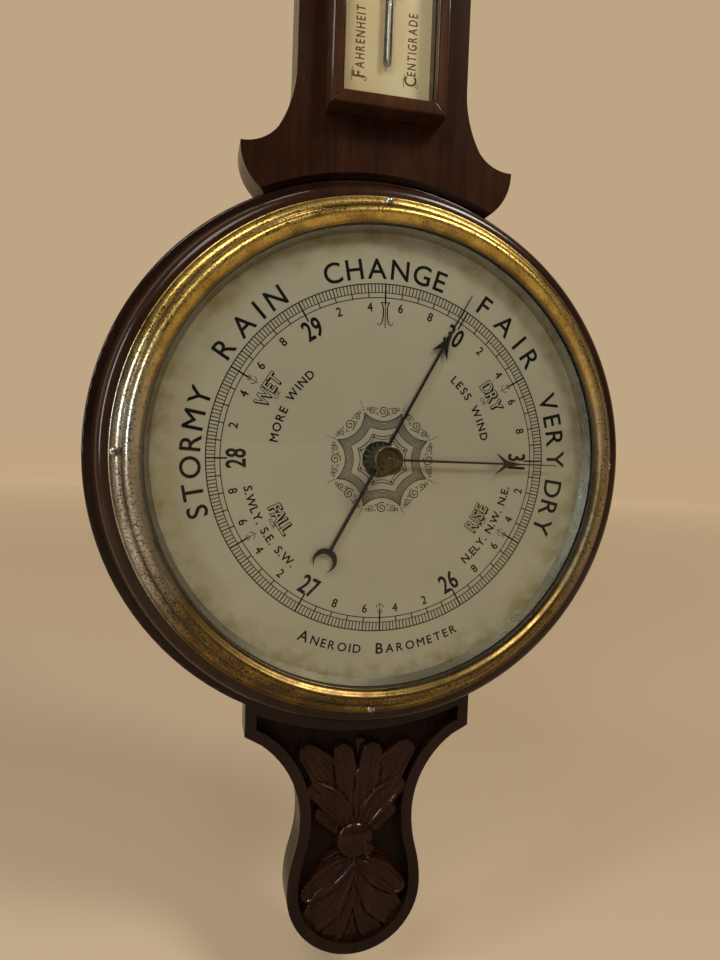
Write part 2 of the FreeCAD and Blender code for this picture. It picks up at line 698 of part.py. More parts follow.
def base_plate():
    plate = rod(S.base_radius, S.base_top - S.base_low, 0, S.base_low, 0)
    stud = rod(S.stud_radius, 4, 0, S.base_low - 1, 0)
    screw = rod(2.05, 4, S.bracket_x, S.base_low - 1, 0)
    node("base_plate", cut(plate, stud, screw))


def levers():
    beam = block(S.lever_start, S.lever_end - S.lever_start, S.lever_low, S.lever_thick, -1.5, 3)
    node("main_lever", beam)
    node("link_wire", rod(0.4, 1.8, S.lever_end - 0.8, S.lever_low - 1.8, 0))
    shaft = rod(S.rocker_radius, 2 * S.rocker_half, S.rocker_x, S.rocker_high, -S.rocker_half, "up")
    short_arm = block(S.rocker_x - 4.3, 4.3, S.rocker_high - 0.7, 1.4, -1.2, 2.4)
    long_arm = block(S.rocker_x - 0.8, 1.6, S.rocker_high, S.chain_high - S.rocker_high + 0.6,
                     S.arm_at - 0.8, 1.6)
    node("rocking_shaft", fuse(shaft, short_arm, long_arm))
    stands = []
    for side in (-1, 1):
        start = side * (S.rocker_half - 1) - 1.2
        stand = block(S.rocker_x - 2.5, 5, S.base_top, S.rocker_high + 2.6 - S.base_top, start, 2.4)
        pivot = rod(S.rocker_radius + S.running_gap, 4, S.rocker_x, S.rocker_high,
                    side * (S.rocker_half - 1) - 2, "up")
        stands.append(cut(stand, pivot))
    group("shaft_brackets", stands)


def arbor():
    turned_node("hand_arbor", [
        (0, S.bridge_low), (S.arbor_radius, S.bridge_low), (S.arbor_radius, S.hair_high - 0.6),
        (S.drum_radius + 0.6, S.hair_high - 0.6), (S.drum_radius + 0.6, S.hair_high + 0.6),
        (S.drum_radius, S.hair_high + 0.6), (S.drum_radius, S.chain_high + 1),
        (S.arbor_radius, S.chain_high + 1), (S.arbor_radius, S.arbor_top), (0, S.arbor_top),
    ])
    bridge = block(-5.5, 11, S.bridge_low, S.bridge_thick, -S.bridge_reach - 4, 2 * S.bridge_reach + 8)
    bore = rod(S.arbor_radius + S.running_gap, 6, 0, S.bridge_low - 1, 0)
    node("lower_bridge", cut(bridge, bore))
    cock = block(-4.5, 9, S.cock_low, S.cock_thick, -S.cock_reach - 3, 2 * S.cock_reach + 6)
    upper_bore = rod(S.arbor_radius + S.running_gap, 6, 0, S.cock_low - 1, 0)
    node("upper_cock", cut(cock, upper_bore))
    bridge_top = S.bridge_low + S.bridge_thick
    group("bridge_pillars", [rod(2.4, S.bridge_low - S.base_top, 0, S.base_top, side * S.bridge_reach)
                             for side in (-1, 1)])
    group("cock_pillars", [rod(1.6, S.cock_low - bridge_top, 0, bridge_top, side * S.cock_reach)
                           for side in (-1, 1)])


def hairspring():
    """A flat spiral of half rings, whose centres swap sides as the radius grows."""
    wire, pitch = SIZES["hair_wire"], SIZES["hair_pitch"]
    edges = {0: [], 1: []}
    start, shift = SIZES["hair_start"], pitch / 4
    for turn in range(2 * SIZES["hair_turns"]):
        radius, side = start + turn * pitch / 2, 1 if turn % 2 == 0 else -1
        centre = FreeCAD.Vector(shift * side, 0, 0)
        for edge, reach in ((0, radius), (1, radius + wire)):
            begin = centre + FreeCAD.Vector(reach * -side, 0, 0)
            middle = centre + FreeCAD.Vector(0, 0, reach * side)
            finish = centre + FreeCAD.Vector(reach * side, 0, 0)
            edges[edge].append(Part.Arc(begin, middle, finish).toShape())
    ends = []
    for index, vertex in ((0, 0), (-1, 1)):
        spots = [edges[edge][index].Curve.value(
            edges[edge][index].FirstParameter if vertex == 0 else edges[edge][index].LastParameter)
            for edge in (0, 1)]
        ends.append(Part.LineSegment(*spots).toShape())
    loop = Part.Wire(Part.__sortEdges__(edges[0] + edges[1] + ends))
    spring = doc.addObject("Part::Feature", "hairspring_wire")
    spring.Shape = Part.Face(loop).extrude(FreeCAD.Vector(0, -wire, 0))
    bind(spring, "Placement.Base.y", -S.hair_high + S.hair_wire / 2)
    node("hairspring", spring)
    bridge_top = S.bridge_low + S.bridge_thick
    reach = start + (SIZES["hair_turns"] - 0.5) * pitch + shift + wire
    stud = rod(0.7, S.hair_high + 0.6 - bridge_top, -reach - 0.72, bridge_top, 0)
    node("hairspring_stud", stud)


def chain():
    """Small flat links from the drum to the long arm."""
    links, count = [], 14
    reach = S.rocker_x - 1.0
    fall = S.arm_at - S.drum_radius - 0.3
    for index in range(count):
        x, z = reach * (index / count), S.drum_radius + 0.3 + fall * (index / count)
        links.append(block(x, reach / count - 0.25, S.chain_high - 0.4, 0.8, z, 0.5))
    group("chain", links)


# ---------------------------------------------------------------- thermometer box

def box_side(name, flip):
    """A side rail, grooved for the glass and mitred at both ends."""
    body = new_body(name + "_body")
    outer, inner, front, bend = -S.box_half, -S.box_half + S.rail_wide, -S.box_front, S.rail_round
    bottom = inner - S.groove_deep
    pad(body, [
        (outer, -S.board_front), (outer, front + bend), (outer + bend, front, -bend),
        (inner - 1.2, front), (inner, front + 1.2, -1.2), (inner, -S.groove_high),
        (bottom, -S.groove_high), (bottom, -S.groove_low), (inner, -S.groove_low),
        (inner, -S.board_front),
    ], S.box_low, S.box_high, "XY_Plane")
    for end, way in ((S.box_low, 1), (S.box_high, -1)):
        corner = [(inner + 1, end - way), (inner + 1, end + way * (S.rail_wide + 1)),
                  (outer - 1, end - way)]
        pocket(body, lambda sketch, path=corner: outline(sketch, path), S.board_front - 1, S.box_front + 1)
    finish_rail(name, body, flip)


def box_end(name, flip):
    """A bottom or top rail: a bar with a rounded front edge, mitred to the side rails."""
    body = new_body(name + "_body")
    outer, inner, front, bend = S.box_low, S.box_low + S.rail_wide, -S.box_front, S.rail_round
    sketch = sketch_on(body, "YZ_Plane", -S.box_half)
    outline(sketch, [
        (-S.board_front, outer), (front + bend, outer), (front, outer + bend, -bend),
        (front, inner - 1.2), (front + 1.2, inner, -1.2), (-S.board_front, inner),
    ])
    feature = body.newObject("PartDesign::Pad", name + "_pad")
    feature.Profile = sketch
    bind(feature, "Length", 2 * S.box_half)
    for way in (-1, 1):
        corner = [(way * (S.box_half + 1), outer - 1), (way * (S.box_half - S.rail_wide - 1), inner + 1),
                  (way * (S.box_half + 1), inner + 1)]
        pocket(body, lambda sketch, path=corner: outline(sketch, path), S.board_front - 1, S.box_front + 1)
    finish_rail(name, body, flip)


def finish_rail(name, body, flip):
    """Turns a copy half round to serve the opposite side of the box."""
    if flip:
        turn = FreeCAD.Rotation(FreeCAD.Vector(0, 1, 0), 180)
        body.Placement = FreeCAD.Placement(FreeCAD.Vector(), turn)
        bind(body, "Placement.Base.z", S.box_low + S.box_high)
    node(name, body)


def thermometer():
    box_side("box_rail_left", False)
    box_side("box_rail_right", True)
    box_end("box_rail_bottom", False)
    box_end("box_rail_top", True)
    inner = S.box_half - S.rail_wide
    low, high = S.box_low + S.rail_wide, S.box_high - S.rail_wide
    reach = inner + S.groove_deep - 0.3
    node("box_glass", block(-reach, 2 * reach, S.groove_low + 0.1, S.groove_high - S.groove_low - 0.2,
                            low, high - low))
    plate = block(-inner, 2 * inner, S.board_front, S.plate_thick, low, high - low)
    pins, holes = [], []
    for side in (-1, 1):
        for up in (low + 120, high - 8):
            pins.append(fuse(rod(0.8, 6, side * 17, S.board_front + S.plate_thick - 5.5, up),
                             rod(1.5, 0.5, side * 17, S.board_front + S.plate_thick, up)))
            holes.append(rod(0.8, 6, side * 17, S.board_front + S.plate_thick - 5.5, up))
    node("scale_plate", cut(plate, *holes))
    group("scale_pins", pins)
    return holes


def thermometer_tube():
    tube, fill = S.tube_radius, S.bulb_bore
    mercury = new_body("mercury_body")
    upright(mercury, [
        (0, S.tube_low + 1.2), (fill, S.tube_low + 1.2 + fill, fill), (fill, S.bulb_top),
        (S.thread_bore, S.bulb_top + 3), (S.thread_bore, S.reading_up), (0, S.reading_up),
    ])
    node("mercury", mercury)
    glass = new_body("thermometer_tube_body")
    upright(glass, [
        (0, S.tube_low), (tube, S.tube_low + tube, tube), (tube, S.tube_top),
        (S.thread_bore, S.tube_top), (S.thread_bore, S.bulb_top + 3), (fill, S.bulb_top),
        (fill, S.tube_low + 1.2 + fill), (0, S.tube_low + 1.2, -fill),
    ])
    node("thermometer_tube", glass)
    clips = []
    for up in (238, 318, 398):
        band = cut(rod(tube + S.clip_thick, 2, 0, S.tube_high, up, "up"),
                   rod(tube, 4, 0, S.tube_high, up - 1, "up"),
                   block(-6, 12, S.tube_high - 6, 6, up - 1, 4))
        low = S.board_front + S.plate_thick
        legs = [block(side * (tube + S.clip_thick / 2) - S.clip_thick / 2, S.clip_thick, low,
                      S.tube_high - low, up, 2) for side in (-1, 1)]
        clips.append(fuse(band, *legs))
    group("tube_clips", clips)


def upright(body, profile):
    """Revolves a profile of (radius, up) points about the thermometer tube's own axis."""
    sketch = sketch_on(body, "XZ_Plane")
    outline(sketch, profile)
    feature = body.newObject("PartDesign::Revolution", body.Name + "_turning")
    feature.Profile = sketch
    feature.ReferenceAxis = (sketch, ["V_Axis"])
    feature.Angle = 360
    bind(body, "Placement.Base.y", -S.tube_high)


# ---------------------------------------------------------------- back of the case

def flush_screw(x, z, wide, thick, length):
    """A countersunk slotted screw whose head is flush with the wall plane."""
    body = fuse(cone(wide, 1.2, thick, x, 0, z), rod(1.2, length, x, 0, z))
    return cut(body, block(x - 0.35, 0.7, -0.1, 0.7, z - wide - 1, 2 * wide + 2))


def cover_screw_spots():
    reach = (S.cavity_radius + S.cover_radius) / 2
    return [(reach * math.cos(math.radians(angle)), reach * math.sin(math.radians(angle)))
            for angle in (45, 135, 225, 315)]


def cover_screw_rods():
    return [rod(1.2, 12, x, 0, z) for x, z in cover_screw_spots()]


def back_cover():
    plate = rod(S.cover_radius - 0.3, S.cover_thick, 0, 0, 0)
    sinks = [cone(2.6, 1.2, S.cover_thick, x, 0, z) for x, z in cover_screw_spots()]
    access = rod(4, S.cover_thick + 2, S.bracket_x, -1, 0)
    node("back_cover", cut(plate, access, *sinks))
    group("back_cover_screws", [flush_screw(x, z, size(2.6), S.cover_thick, 12)
                                for x, z in cover_screw_spots()])


def hanger_screw_spots():
    return [(side * 6.0, up) for side in (-1, 1) for up in (S.hanger_low + 6, S.hanger_low + 20)]


def hanger_screw_rods():
    return [rod(1.2, 13, x, 0, up) for x, up in hanger_screw_spots()]


def hanging_plate():
    plate = block(-S.hanger_half, 2 * S.hanger_half, 0, S.hanger_thick, S.hanger_low,
                  S.hanger_high - S.hanger_low)
    sinks = [cone(2.8, 1.2, S.hanger_thick, x, 0, up) for x, up in hanger_screw_spots()]
    eye = rod(S.hanger_hole, S.hanger_thick + 2, 0, -1, S.hanger_up)
    node("hanging_plate", cut(plate, eye, *sinks))
    group("hanging_plate_screws", [flush_screw(x, up, size(2.8), S.hanger_thick, 13)
                                   for x, up in hanger_screw_spots()])


# ---------------------------------------------------------------- the whole barometer

case_board()
dial_ring()
neck_board()
head_board()
carvings()
group("board_dowels", dowel_rods())
bezel()
round_screws("bezel_screws", S.screw_circle, S.screw_seat, S.screw_head, S.screw_shank, 11)
glazing()
hands()
dial()
capsule()
main_spring()
spring_bracket()
base_plate()
levers()
arbor()
hairspring()
chain()
pin_holes = thermometer()
node("neck_board", cut(nodes["neck_board"], *pin_holes))
thermometer_tube()
back_cover()
hanging_plate()
doc.recompute()

for thing in doc.Objects:
    if {"Invalid", "Error"} & set(thing.State):
        raise RuntimeError(f"{thing.Name} ({thing.Label}) failed: {thing.State}")

os.makedirs("parts", exist_ok=True)
for name, thing in nodes.items():
    shape = thing.Shape
    if shape.isNull() or not shape.isValid() or not shape.Solids:
        raise RuntimeError(f"{name} has no valid solid")
    shape.exportStep(f"parts/{name}.step")
    box = shape.BoundBox
    print(f"{name}: {len(shape.Solids)} solid(s), {shape.Volume:.1f} mm3, "
          f"x {box.XMin:.1f}..{box.XMax:.1f}, y {box.YMin:.1f}..{box.YMax:.1f}, "
          f"z {box.ZMin:.1f}..{box.ZMax:.1f}")
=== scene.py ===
import json
import math

import bmesh
import bpy
import numpy as np
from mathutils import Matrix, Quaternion, Vector
from mathutils.bvhtree import BVHTree
from mathutils.geometry import tessellate_polygon

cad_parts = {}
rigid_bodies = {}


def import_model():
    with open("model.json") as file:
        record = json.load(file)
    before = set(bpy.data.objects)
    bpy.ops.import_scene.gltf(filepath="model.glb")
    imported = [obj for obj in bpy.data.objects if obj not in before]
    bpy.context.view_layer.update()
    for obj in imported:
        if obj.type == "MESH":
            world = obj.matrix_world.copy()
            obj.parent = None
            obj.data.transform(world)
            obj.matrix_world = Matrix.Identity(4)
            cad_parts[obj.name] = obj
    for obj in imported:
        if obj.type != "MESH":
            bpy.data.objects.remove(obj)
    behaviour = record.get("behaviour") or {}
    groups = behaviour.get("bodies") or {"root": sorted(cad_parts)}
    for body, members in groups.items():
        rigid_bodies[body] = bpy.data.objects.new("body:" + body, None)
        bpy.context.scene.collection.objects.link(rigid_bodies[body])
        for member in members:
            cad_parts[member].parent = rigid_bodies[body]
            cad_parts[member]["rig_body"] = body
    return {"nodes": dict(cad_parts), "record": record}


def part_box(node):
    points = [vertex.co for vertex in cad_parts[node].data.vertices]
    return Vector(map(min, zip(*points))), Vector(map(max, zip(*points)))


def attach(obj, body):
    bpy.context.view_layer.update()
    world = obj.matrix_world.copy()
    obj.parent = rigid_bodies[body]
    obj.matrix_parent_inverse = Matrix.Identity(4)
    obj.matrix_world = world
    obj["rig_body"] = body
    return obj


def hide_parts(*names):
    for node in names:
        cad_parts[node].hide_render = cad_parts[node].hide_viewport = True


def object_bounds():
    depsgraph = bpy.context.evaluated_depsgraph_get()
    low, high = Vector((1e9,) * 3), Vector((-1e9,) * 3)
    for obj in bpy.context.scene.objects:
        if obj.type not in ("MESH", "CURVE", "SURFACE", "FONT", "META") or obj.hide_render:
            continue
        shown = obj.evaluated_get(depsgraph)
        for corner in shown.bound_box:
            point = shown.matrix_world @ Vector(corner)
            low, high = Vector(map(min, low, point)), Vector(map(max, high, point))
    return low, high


# The looks of a banjo-shaped wall barometer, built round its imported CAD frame.
# Frame: metres, +Z up, the front faces -Y and the wall is the plane y = 0. Sizes below are in
# millimetres, "high" is a distance out from the wall, and MM turns them into metres.

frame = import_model()
cad_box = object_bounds()
MM = 0.001


def front(name):
    """How far a CAD node stands out from the wall."""
    return -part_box(name)[0].y / MM


def half_width(name):
    low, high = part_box(name)
    return (high.x - low.x) / 2 / MM


def spot(x, high, z):
    return Vector((x, -high, z)) * MM


DIAL_FRONT = front("dial_plate")
BOARD_FRONT = front("neck_board")
DROP_GROUND = 11.5                 # the sunk, punched grounds behind the two carvings
HEAD_GROUND = BOARD_FRONT - 6


# ---------------------------------------------------------------- node materials

class Paint:
    """A material with one Principled shader, and short calls for the nodes that feed it."""

    def __init__(self, name, color=(0.5, 0.5, 0.5), metal=0.0, rough=0.5, **sockets):
        self.material = bpy.data.materials.new(name)
        self.material.use_nodes = True
        self.tree = self.material.node_tree
        self.shader = self.tree.nodes["Principled BSDF"]
        self.shader.inputs["Base Color"].default_value = (*color, 1)
        self.shader.inputs["Metallic"].default_value = metal
        self.shader.inputs["Roughness"].default_value = rough
        for socket, value in sockets.items():
            self.shader.inputs[socket.replace("_", " ")].default_value = value

    def add(self, kind, **values):
        node = self.tree.nodes.new(kind)
        for key, value in values.items():
            if key.startswith("set_"):
                setattr(node, key[4:], value)
            else:
                self.plug(node.inputs[key.replace("_", " ")], value)
        return node

    def plug(self, socket, value):
        if isinstance(value, bpy.types.NodeSocket):
            self.tree.links.new(value, socket)
        else:
            socket.default_value = value

    def where(self, stretch=(1, 1, 1), turn=(0, 0, 0)):
        """Places in the row frame, in millimetres, stretched along an axis."""
        seat = self.add("ShaderNodeTexCoord").outputs["Object"]
        return self.add("ShaderNodeMapping", Vector=seat, Rotation=turn,
                        Scale=[1000 * share for share in stretch]).outputs["Vector"]

    def noise(self, size, where=None, detail=4.0, rough=0.55, distortion=0.0):
        """Cloudy values from 0 to 1, about size millimetres across."""
        return self.add("ShaderNodeTexNoise", Vector=where or self.where(), Scale=1.0 / size,
                        Detail=detail, Roughness=rough, Distortion=distortion).outputs["Fac"]

    def reach(self, vector=None):
        """Distance in metres from the object's origin, which is the dial's centre on the wall."""
        node = self.add("ShaderNodeVectorMath", set_operation="LENGTH")
        self.plug(node.inputs[0], vector or self.add("ShaderNodeTexCoord").outputs["Object"])
        return node.outputs["Value"]

    def math(self, how, first, second=0.5):
        node = self.add("ShaderNodeMath", set_operation=how)
        self.plug(node.inputs[0], first)
        self.plug(node.inputs[1], second)
        return node.outputs[0]

    def span(self, value, low, high, to_low=0.0, to_high=1.0):
        """Maps low..high onto to_low..to_high, held at both ends."""
        return self.add("ShaderNodeMapRange", Value=value, From_Min=low, From_Max=high,
                        To_Min=to_low, To_Max=to_high).outputs["Result"]

    def mix(self, share, first, second):
        node = self.add("ShaderNodeMix", set_data_type="RGBA")
        self.plug(node.inputs[0], share)
        self.plug(node.inputs[6], (*first, 1) if isinstance(first, tuple) else first)
        self.plug(node.inputs[7], (*second, 1) if isinstance(second, tuple) else second)
        return node.outputs[2]

    def color(self, value):
        self.plug(self.shader.inputs["Base Color"], value)

    def rough(self, value):
        self.plug(self.shader.inputs["Roughness"], value)

    def bump(self, height, depth, strength=1.0, over=None):
        """Raises the surface by up to depth millimetres where height is 1."""
        node = self.add("ShaderNodeBump", Height=height, Distance=depth * MM, Strength=strength)
        if over is not None:
            self.plug(node.inputs["Normal"], over)
        self.plug(self.shader.inputs["Normal"], node.outputs["Normal"])
        return node.outputs["Normal"]


def mahogany(name, dark, light, along=(1, 1, 0.05), gloss=0.08, polish=0.4):
    """French-polished mahogany: dark bands, fine streaks along the grain and short pores."""
    paint = Paint(name, rough=0.35, Coat_Weight=polish, Coat_Roughness=gloss, Coat_IOR=1.5,
                  Specular_IOR_Level=0.03)
    grain = paint.where(along)
    bands = paint.noise(9, grain, detail=5, distortion=1.2)
    streaks = paint.noise(0.9, grain, detail=3)
    tone = paint.math("ADD", paint.math("MULTIPLY", bands, 0.65), paint.math("MULTIPLY", streaks, 0.35))
    shade = paint.mix(paint.span(tone, 0.3, 0.78), dark, light)
    pores = paint.span(paint.noise(0.35, paint.where((1, 1, 0.03)), detail=2), 0.62, 0.76)
    shade = paint.mix(paint.math("MULTIPLY", pores, 0.4), shade, tuple(0.35 * part for part in dark))
    smoky = paint.noise(45, detail=2)
    shade = paint.mix(paint.span(smoky, 0.42, 0.68, 0.0, 0.45), shade, tuple(0.5 * part for part in dark))
    paint.color(shade)
    paint.rough(paint.span(paint.noise(14, detail=3), 0.3, 0.7, 0.26, 0.42))
    fine = paint.bump(pores, -0.02, 0.5)
    paint.bump(paint.noise(26, detail=2), 0.12, 0.35, over=fine)
    return paint.material


def aged_brass():
    """Old lacquered brass: gold above; white metal at the left, which is a painted reflection of a window;
    brown below, where shade is painted; and a duller grey-brown at the right.

    Black specks gather along the mouldings, and dark lines of painted shade run along their creases.
    """
    paint = Paint("aged_brass", metal=1.0, rough=0.3)
    seat = paint.where()
    axes = paint.add("ShaderNodeSeparateXYZ", Vector=paint.add("ShaderNodeTexCoord").outputs["Object"])
    across, upward = axes.outputs["X"], axes.outputs["Z"]
    clouds = paint.noise(16, seat, detail=6, rough=0.65)
    spots = paint.noise(0.9, seat, detail=5, rough=0.7)
    gold = paint.mix(paint.span(paint.noise(7, seat), 0.35, 0.65), (0.60, 0.43, 0.12), (0.47, 0.32, 0.085))
    brown = paint.mix(paint.span(clouds, 0.46, 0.66, 0.0, 0.7), gold, (0.15, 0.09, 0.035))
    # painted shade: the lower part of the bezel is darkened to brown, where it faces away from the light
    lower = paint.math("MULTIPLY", paint.span(upward, 0.03, -0.07),
                       paint.span(clouds, 0.3, 0.6, 0.6, 0.95))
    brown = paint.mix(lower, brown, (0.115, 0.072, 0.03))
    # painted reflection: a window's pale light on the bezel's left, painted in as white metal
    leftward = paint.math("MULTIPLY", paint.span(across, -0.085, -0.105), paint.span(upward, 0.055, 0.015))
    window_reflection = paint.math("MULTIPLY", leftward, paint.span(clouds, 0.35, 0.55, 1.0, 0.45))
    mottle = paint.mix(window_reflection, brown, (0.52, 0.52, 0.5))
    rightward = paint.math("MULTIPLY", paint.span(across, 0.085, 0.11),
                           paint.span(clouds, 0.3, 0.6, 0.3, 0.75))
    mottle = paint.mix(rightward, mottle, (0.36, 0.32, 0.25))
    flat = paint.add("ShaderNodeCombineXYZ", X=across, Z=upward)
    radius = paint.reach(flat.outputs[0])
    bead_foot = 0.1125
    # painted shade: dark lines in the creases of the moulding and at its edges
    for seam, width in ((bead_foot, 0.0012), (0.1045, 0.0014), (0.1176, 0.0009)):
        away = paint.math("ABSOLUTE", paint.math("SUBTRACT", radius, seam))
        mottle = paint.mix(paint.span(away, width, 0.0, 0.0, 0.75), mottle, (0.035, 0.024, 0.013))
    away = paint.math("ABSOLUTE", paint.math("SUBTRACT", radius, bead_foot))
    specks = paint.math("ADD", spots, paint.span(away, 0.006, 0.0, 0.0, 0.12))
    paint.color(paint.mix(paint.span(specks, 0.56, 0.64, 0.0, 0.88), mottle, (0.022, 0.016, 0.01)))
    paint.rough(paint.span(clouds, 0.35, 0.7, 0.2, 0.44))
    turned = paint.bump(paint.noise(0.5, seat, detail=2), 0.012, 0.4)
    paint.bump(spots, 0.03, 0.5, over=turned)
    return paint.material


def worn_metal(name, color, deep, rough=0.35, spot_size=2.5, metal=1.0, share=0.5):
    """Metal with handling marks: clouds of a deeper tone and a fine brushed surface."""
    paint = Paint(name, metal=metal, rough=rough)
    clouds = paint.noise(spot_size, detail=5, rough=0.65)
    paint.color(paint.mix(paint.span(clouds, 0.42, 0.68, 0.0, share), color, deep))
    paint.rough(paint.span(clouds, 0.3, 0.7, rough * 0.75, min(rough * 1.35, 1.0)))
    paint.bump(paint.noise(0.25, paint.where((1, 1, 0.1)), detail=2), 0.008, 0.35)
    return paint.material


def silvered_dial():
    """Silvered brass under old varnish: matt, a little yellow, with faint stains and a few spots."""
    paint = Paint("silvered_dial", metal=0.35, rough=0.42, Specular_IOR_Level=0.4)
    seat = paint.where()
    stains = paint.noise(38, seat, detail=4, rough=0.6)
    base = paint.mix(paint.span(stains, 0.3, 0.7), (0.56, 0.53, 0.42), (0.49, 0.465, 0.365))
    fine = paint.noise(0.4, seat, detail=3)
    base = paint.mix(paint.span(fine, 0.3, 0.7, 0.0, 0.16), base, (0.28, 0.26, 0.19))
    specks = paint.span(paint.noise(1.6, seat, detail=4, rough=0.7), 0.74, 0.78)
    base = paint.mix(paint.math("MULTIPLY", specks, 0.5), base, (0.12, 0.10, 0.07))
    rim = paint.span(paint.reach(), 0.095, 0.108)
    rim = paint.math("MULTIPLY", rim, paint.span(paint.noise(9, seat, detail=5), 0.4, 0.7))
    paint.color(paint.mix(rim, base, (0.33, 0.26, 0.10)))
    paint.rough(paint.span(stains, 0.3, 0.7, 0.36, 0.5))
    paint.bump(fine, 0.008, 0.3)
    return paint.material


def ink(name, color):
    """Printer's ink, a little worn through in places."""
    paint = Paint(name, rough=0.7, Specular_IOR_Level=0.08)
    mottle = paint.span(paint.noise(0.7, detail=4, rough=0.7), 0.66, 0.78, 0.0, 0.2)
    paint.color(paint.mix(mottle, color, (0.3, 0.28, 0.22)))
    return paint.material


def ivory():
    """The cream thermometer scale, yellower in clouds, with faint smudges."""
    paint = Paint("ivory_scale", rough=0.38, Coat_Weight=0.25, Coat_Roughness=0.2)
    clouds = paint.noise(22, detail=4)
    base = paint.mix(paint.span(clouds, 0.35, 0.68), (0.86, 0.74, 0.48), (0.78, 0.65, 0.40))
    smudge = paint.span(paint.noise(3, detail=5, rough=0.7), 0.62, 0.8, 0.0, 0.3)
    paint.color(paint.mix(smudge, base, (0.36, 0.27, 0.15)))
    paint.bump(paint.noise(0.8, detail=2), 0.01, 0.3)
    return paint.material


def pane(name, tint, shine):
    """Thin clear glass: see-through, with a gloss that grows towards grazing angles."""
    paint = Paint(name, tint, rough=0.02, Specular_IOR_Level=0.5)
    tree, out = paint.tree, paint.tree.nodes["Material Output"]
    clear = paint.add("ShaderNodeBsdfTransparent", Color=(*tint, 1))
    gloss = paint.add("ShaderNodeBsdfGlossy", Roughness=0.015)
    facing = paint.add("ShaderNodeFresnel", IOR=1.45).outputs[0]
    smears = paint.span(paint.noise(30, detail=3), 0.3, 0.75, shine * 0.8, shine)
    blend = paint.add("ShaderNodeMixShader")
    tree.links.new(paint.math("MULTIPLY", facing, smears), blend.inputs[0])
    tree.links.new(clear.outputs[0], blend.inputs[1])
    tree.links.new(gloss.outputs[0], blend.inputs[2])
    tree.links.new(blend.outputs[0], out.inputs["Surface"])
    tree.nodes.remove(paint.shader)
    return paint.material


def soft_black(name, color, rough):
    """Putty and black japanning: dull, with dust in the hollows."""
    paint = Paint(name, color, rough=rough)
    dust = paint.span(paint.noise(4, detail=6, rough=0.7), 0.45, 0.75, 0.0, 0.35)
    paint.color(paint.mix(dust, color, (0.09, 0.08, 0.07)))
    paint.bump(paint.noise(1.2, detail=4), 0.05, 0.4)
    return paint.material


def pale_floor():
    paint = Paint("pale_floor", rough=0.75, Specular_IOR_Level=0.2)
    # painted shade: the floor is darker near the barometer and paler far away
    far = paint.span(paint.reach(), 0.4, 4.0)
    tone = paint.mix(far, (0.42, 0.355, 0.27), (0.9, 0.8, 0.66))
    clouds = paint.span(paint.noise(900, detail=2), 0.3, 0.7, 0.0, 0.1)
    paint.color(paint.mix(clouds, tone, (0.5, 0.42, 0.3)))
    paint.bump(paint.noise(6, detail=4), 0.2, 0.2)
    return paint.material


WOOD = mahogany("mahogany_boards", (0.0115, 0.0036, 0.0016), (0.042, 0.0135, 0.0052))
TURNED = mahogany("mahogany_ring", (0.010, 0.0034, 0.0016), (0.034, 0.011, 0.0044), (1, 1, 0.08), 0.17, 0.5)
# painted shade: darker than the boards' mahogany, for the drop's carving in the disc's shade; the head's
# carving shares it
CARVED = mahogany("mahogany_carved", (0.010, 0.003, 0.0013), (0.032, 0.0092, 0.0036),
                  (1, 1, 0.12), 0.1, 0.3)
# painted shade: darker still, for the sunk punched grounds of the drop and the head
GROUND = mahogany("mahogany_ground", (0.005, 0.0019, 0.0011), (0.014, 0.0048, 0.0026),
                  (1, 1, 0.3), 0.35, 0.12)
# painted shade: a darker copy of the boards' mahogany for the case board, as the drop lies in the shade of
# the dial's disc
SHADED_BOARD = mahogany("mahogany_body", (0.006, 0.0022, 0.0012), (0.02, 0.0066, 0.003), polish=0.35)
RAIL = mahogany("mahogany_rails", (0.024, 0.0085, 0.0036), (0.075, 0.029, 0.0115))
DOWEL = mahogany("beech_dowels", (0.35, 0.2, 0.1), (0.5, 0.32, 0.18))
BRASS = aged_brass()
DARK_BRASS = worn_metal("dark_brass", (0.12, 0.1, 0.055), (0.02, 0.017, 0.01), 0.36, 0.9, share=0.95)
WORK_BRASS = worn_metal("movement_brass", (0.62, 0.42, 0.16), (0.3, 0.18, 0.06), 0.3, 5)
NICKEL = worn_metal("nickel_silver", (0.55, 0.54, 0.49), (0.32, 0.3, 0.26), 0.28, 6)
STEEL = worn_metal("polished_steel", (0.46, 0.45, 0.43), (0.16, 0.14, 0.12), 0.25, 2)
BLUED = worn_metal("dark_steel_hand", (0.022, 0.021, 0.021), (0.07, 0.05, 0.03), 0.4, 3, metal=0.8)
SET_HAND = worn_metal("bronzed_set_hand", (0.07, 0.055, 0.03), (0.035, 0.026, 0.015), 0.36, 2, share=0.8)
SHIELD = worn_metal("dark_shield", (0.26, 0.28, 0.29), (0.09, 0.1, 0.1), 0.4, 2, share=0.8)
SIGHT = worn_metal("silvered_ring", (0.42, 0.42, 0.39), (0.33, 0.31, 0.25), 0.24, 14, share=0.6)
MERCURY = worn_metal("mercury_column", (0.88, 0.86, 0.82), (0.75, 0.74, 0.72), 0.3, 12)
DIAL = silvered_dial()
INK = ink("dial_ink", (0.007, 0.007, 0.008))
GOLD_INK = ink("scale_ink", (0.16, 0.09, 0.03))
IVORY = ivory()
GLASS = pane("clear_glass", (0.95, 0.96, 0.95), 0.5)
TUBE_GLASS = pane("tube_glass", (0.95, 0.96, 0.95), 1.0)
PUTTY = soft_black("putty", (0.02, 0.018, 0.015), 0.8)
JAPAN = soft_black("japanned_tin", (0.012, 0.011, 0.01), 0.35)

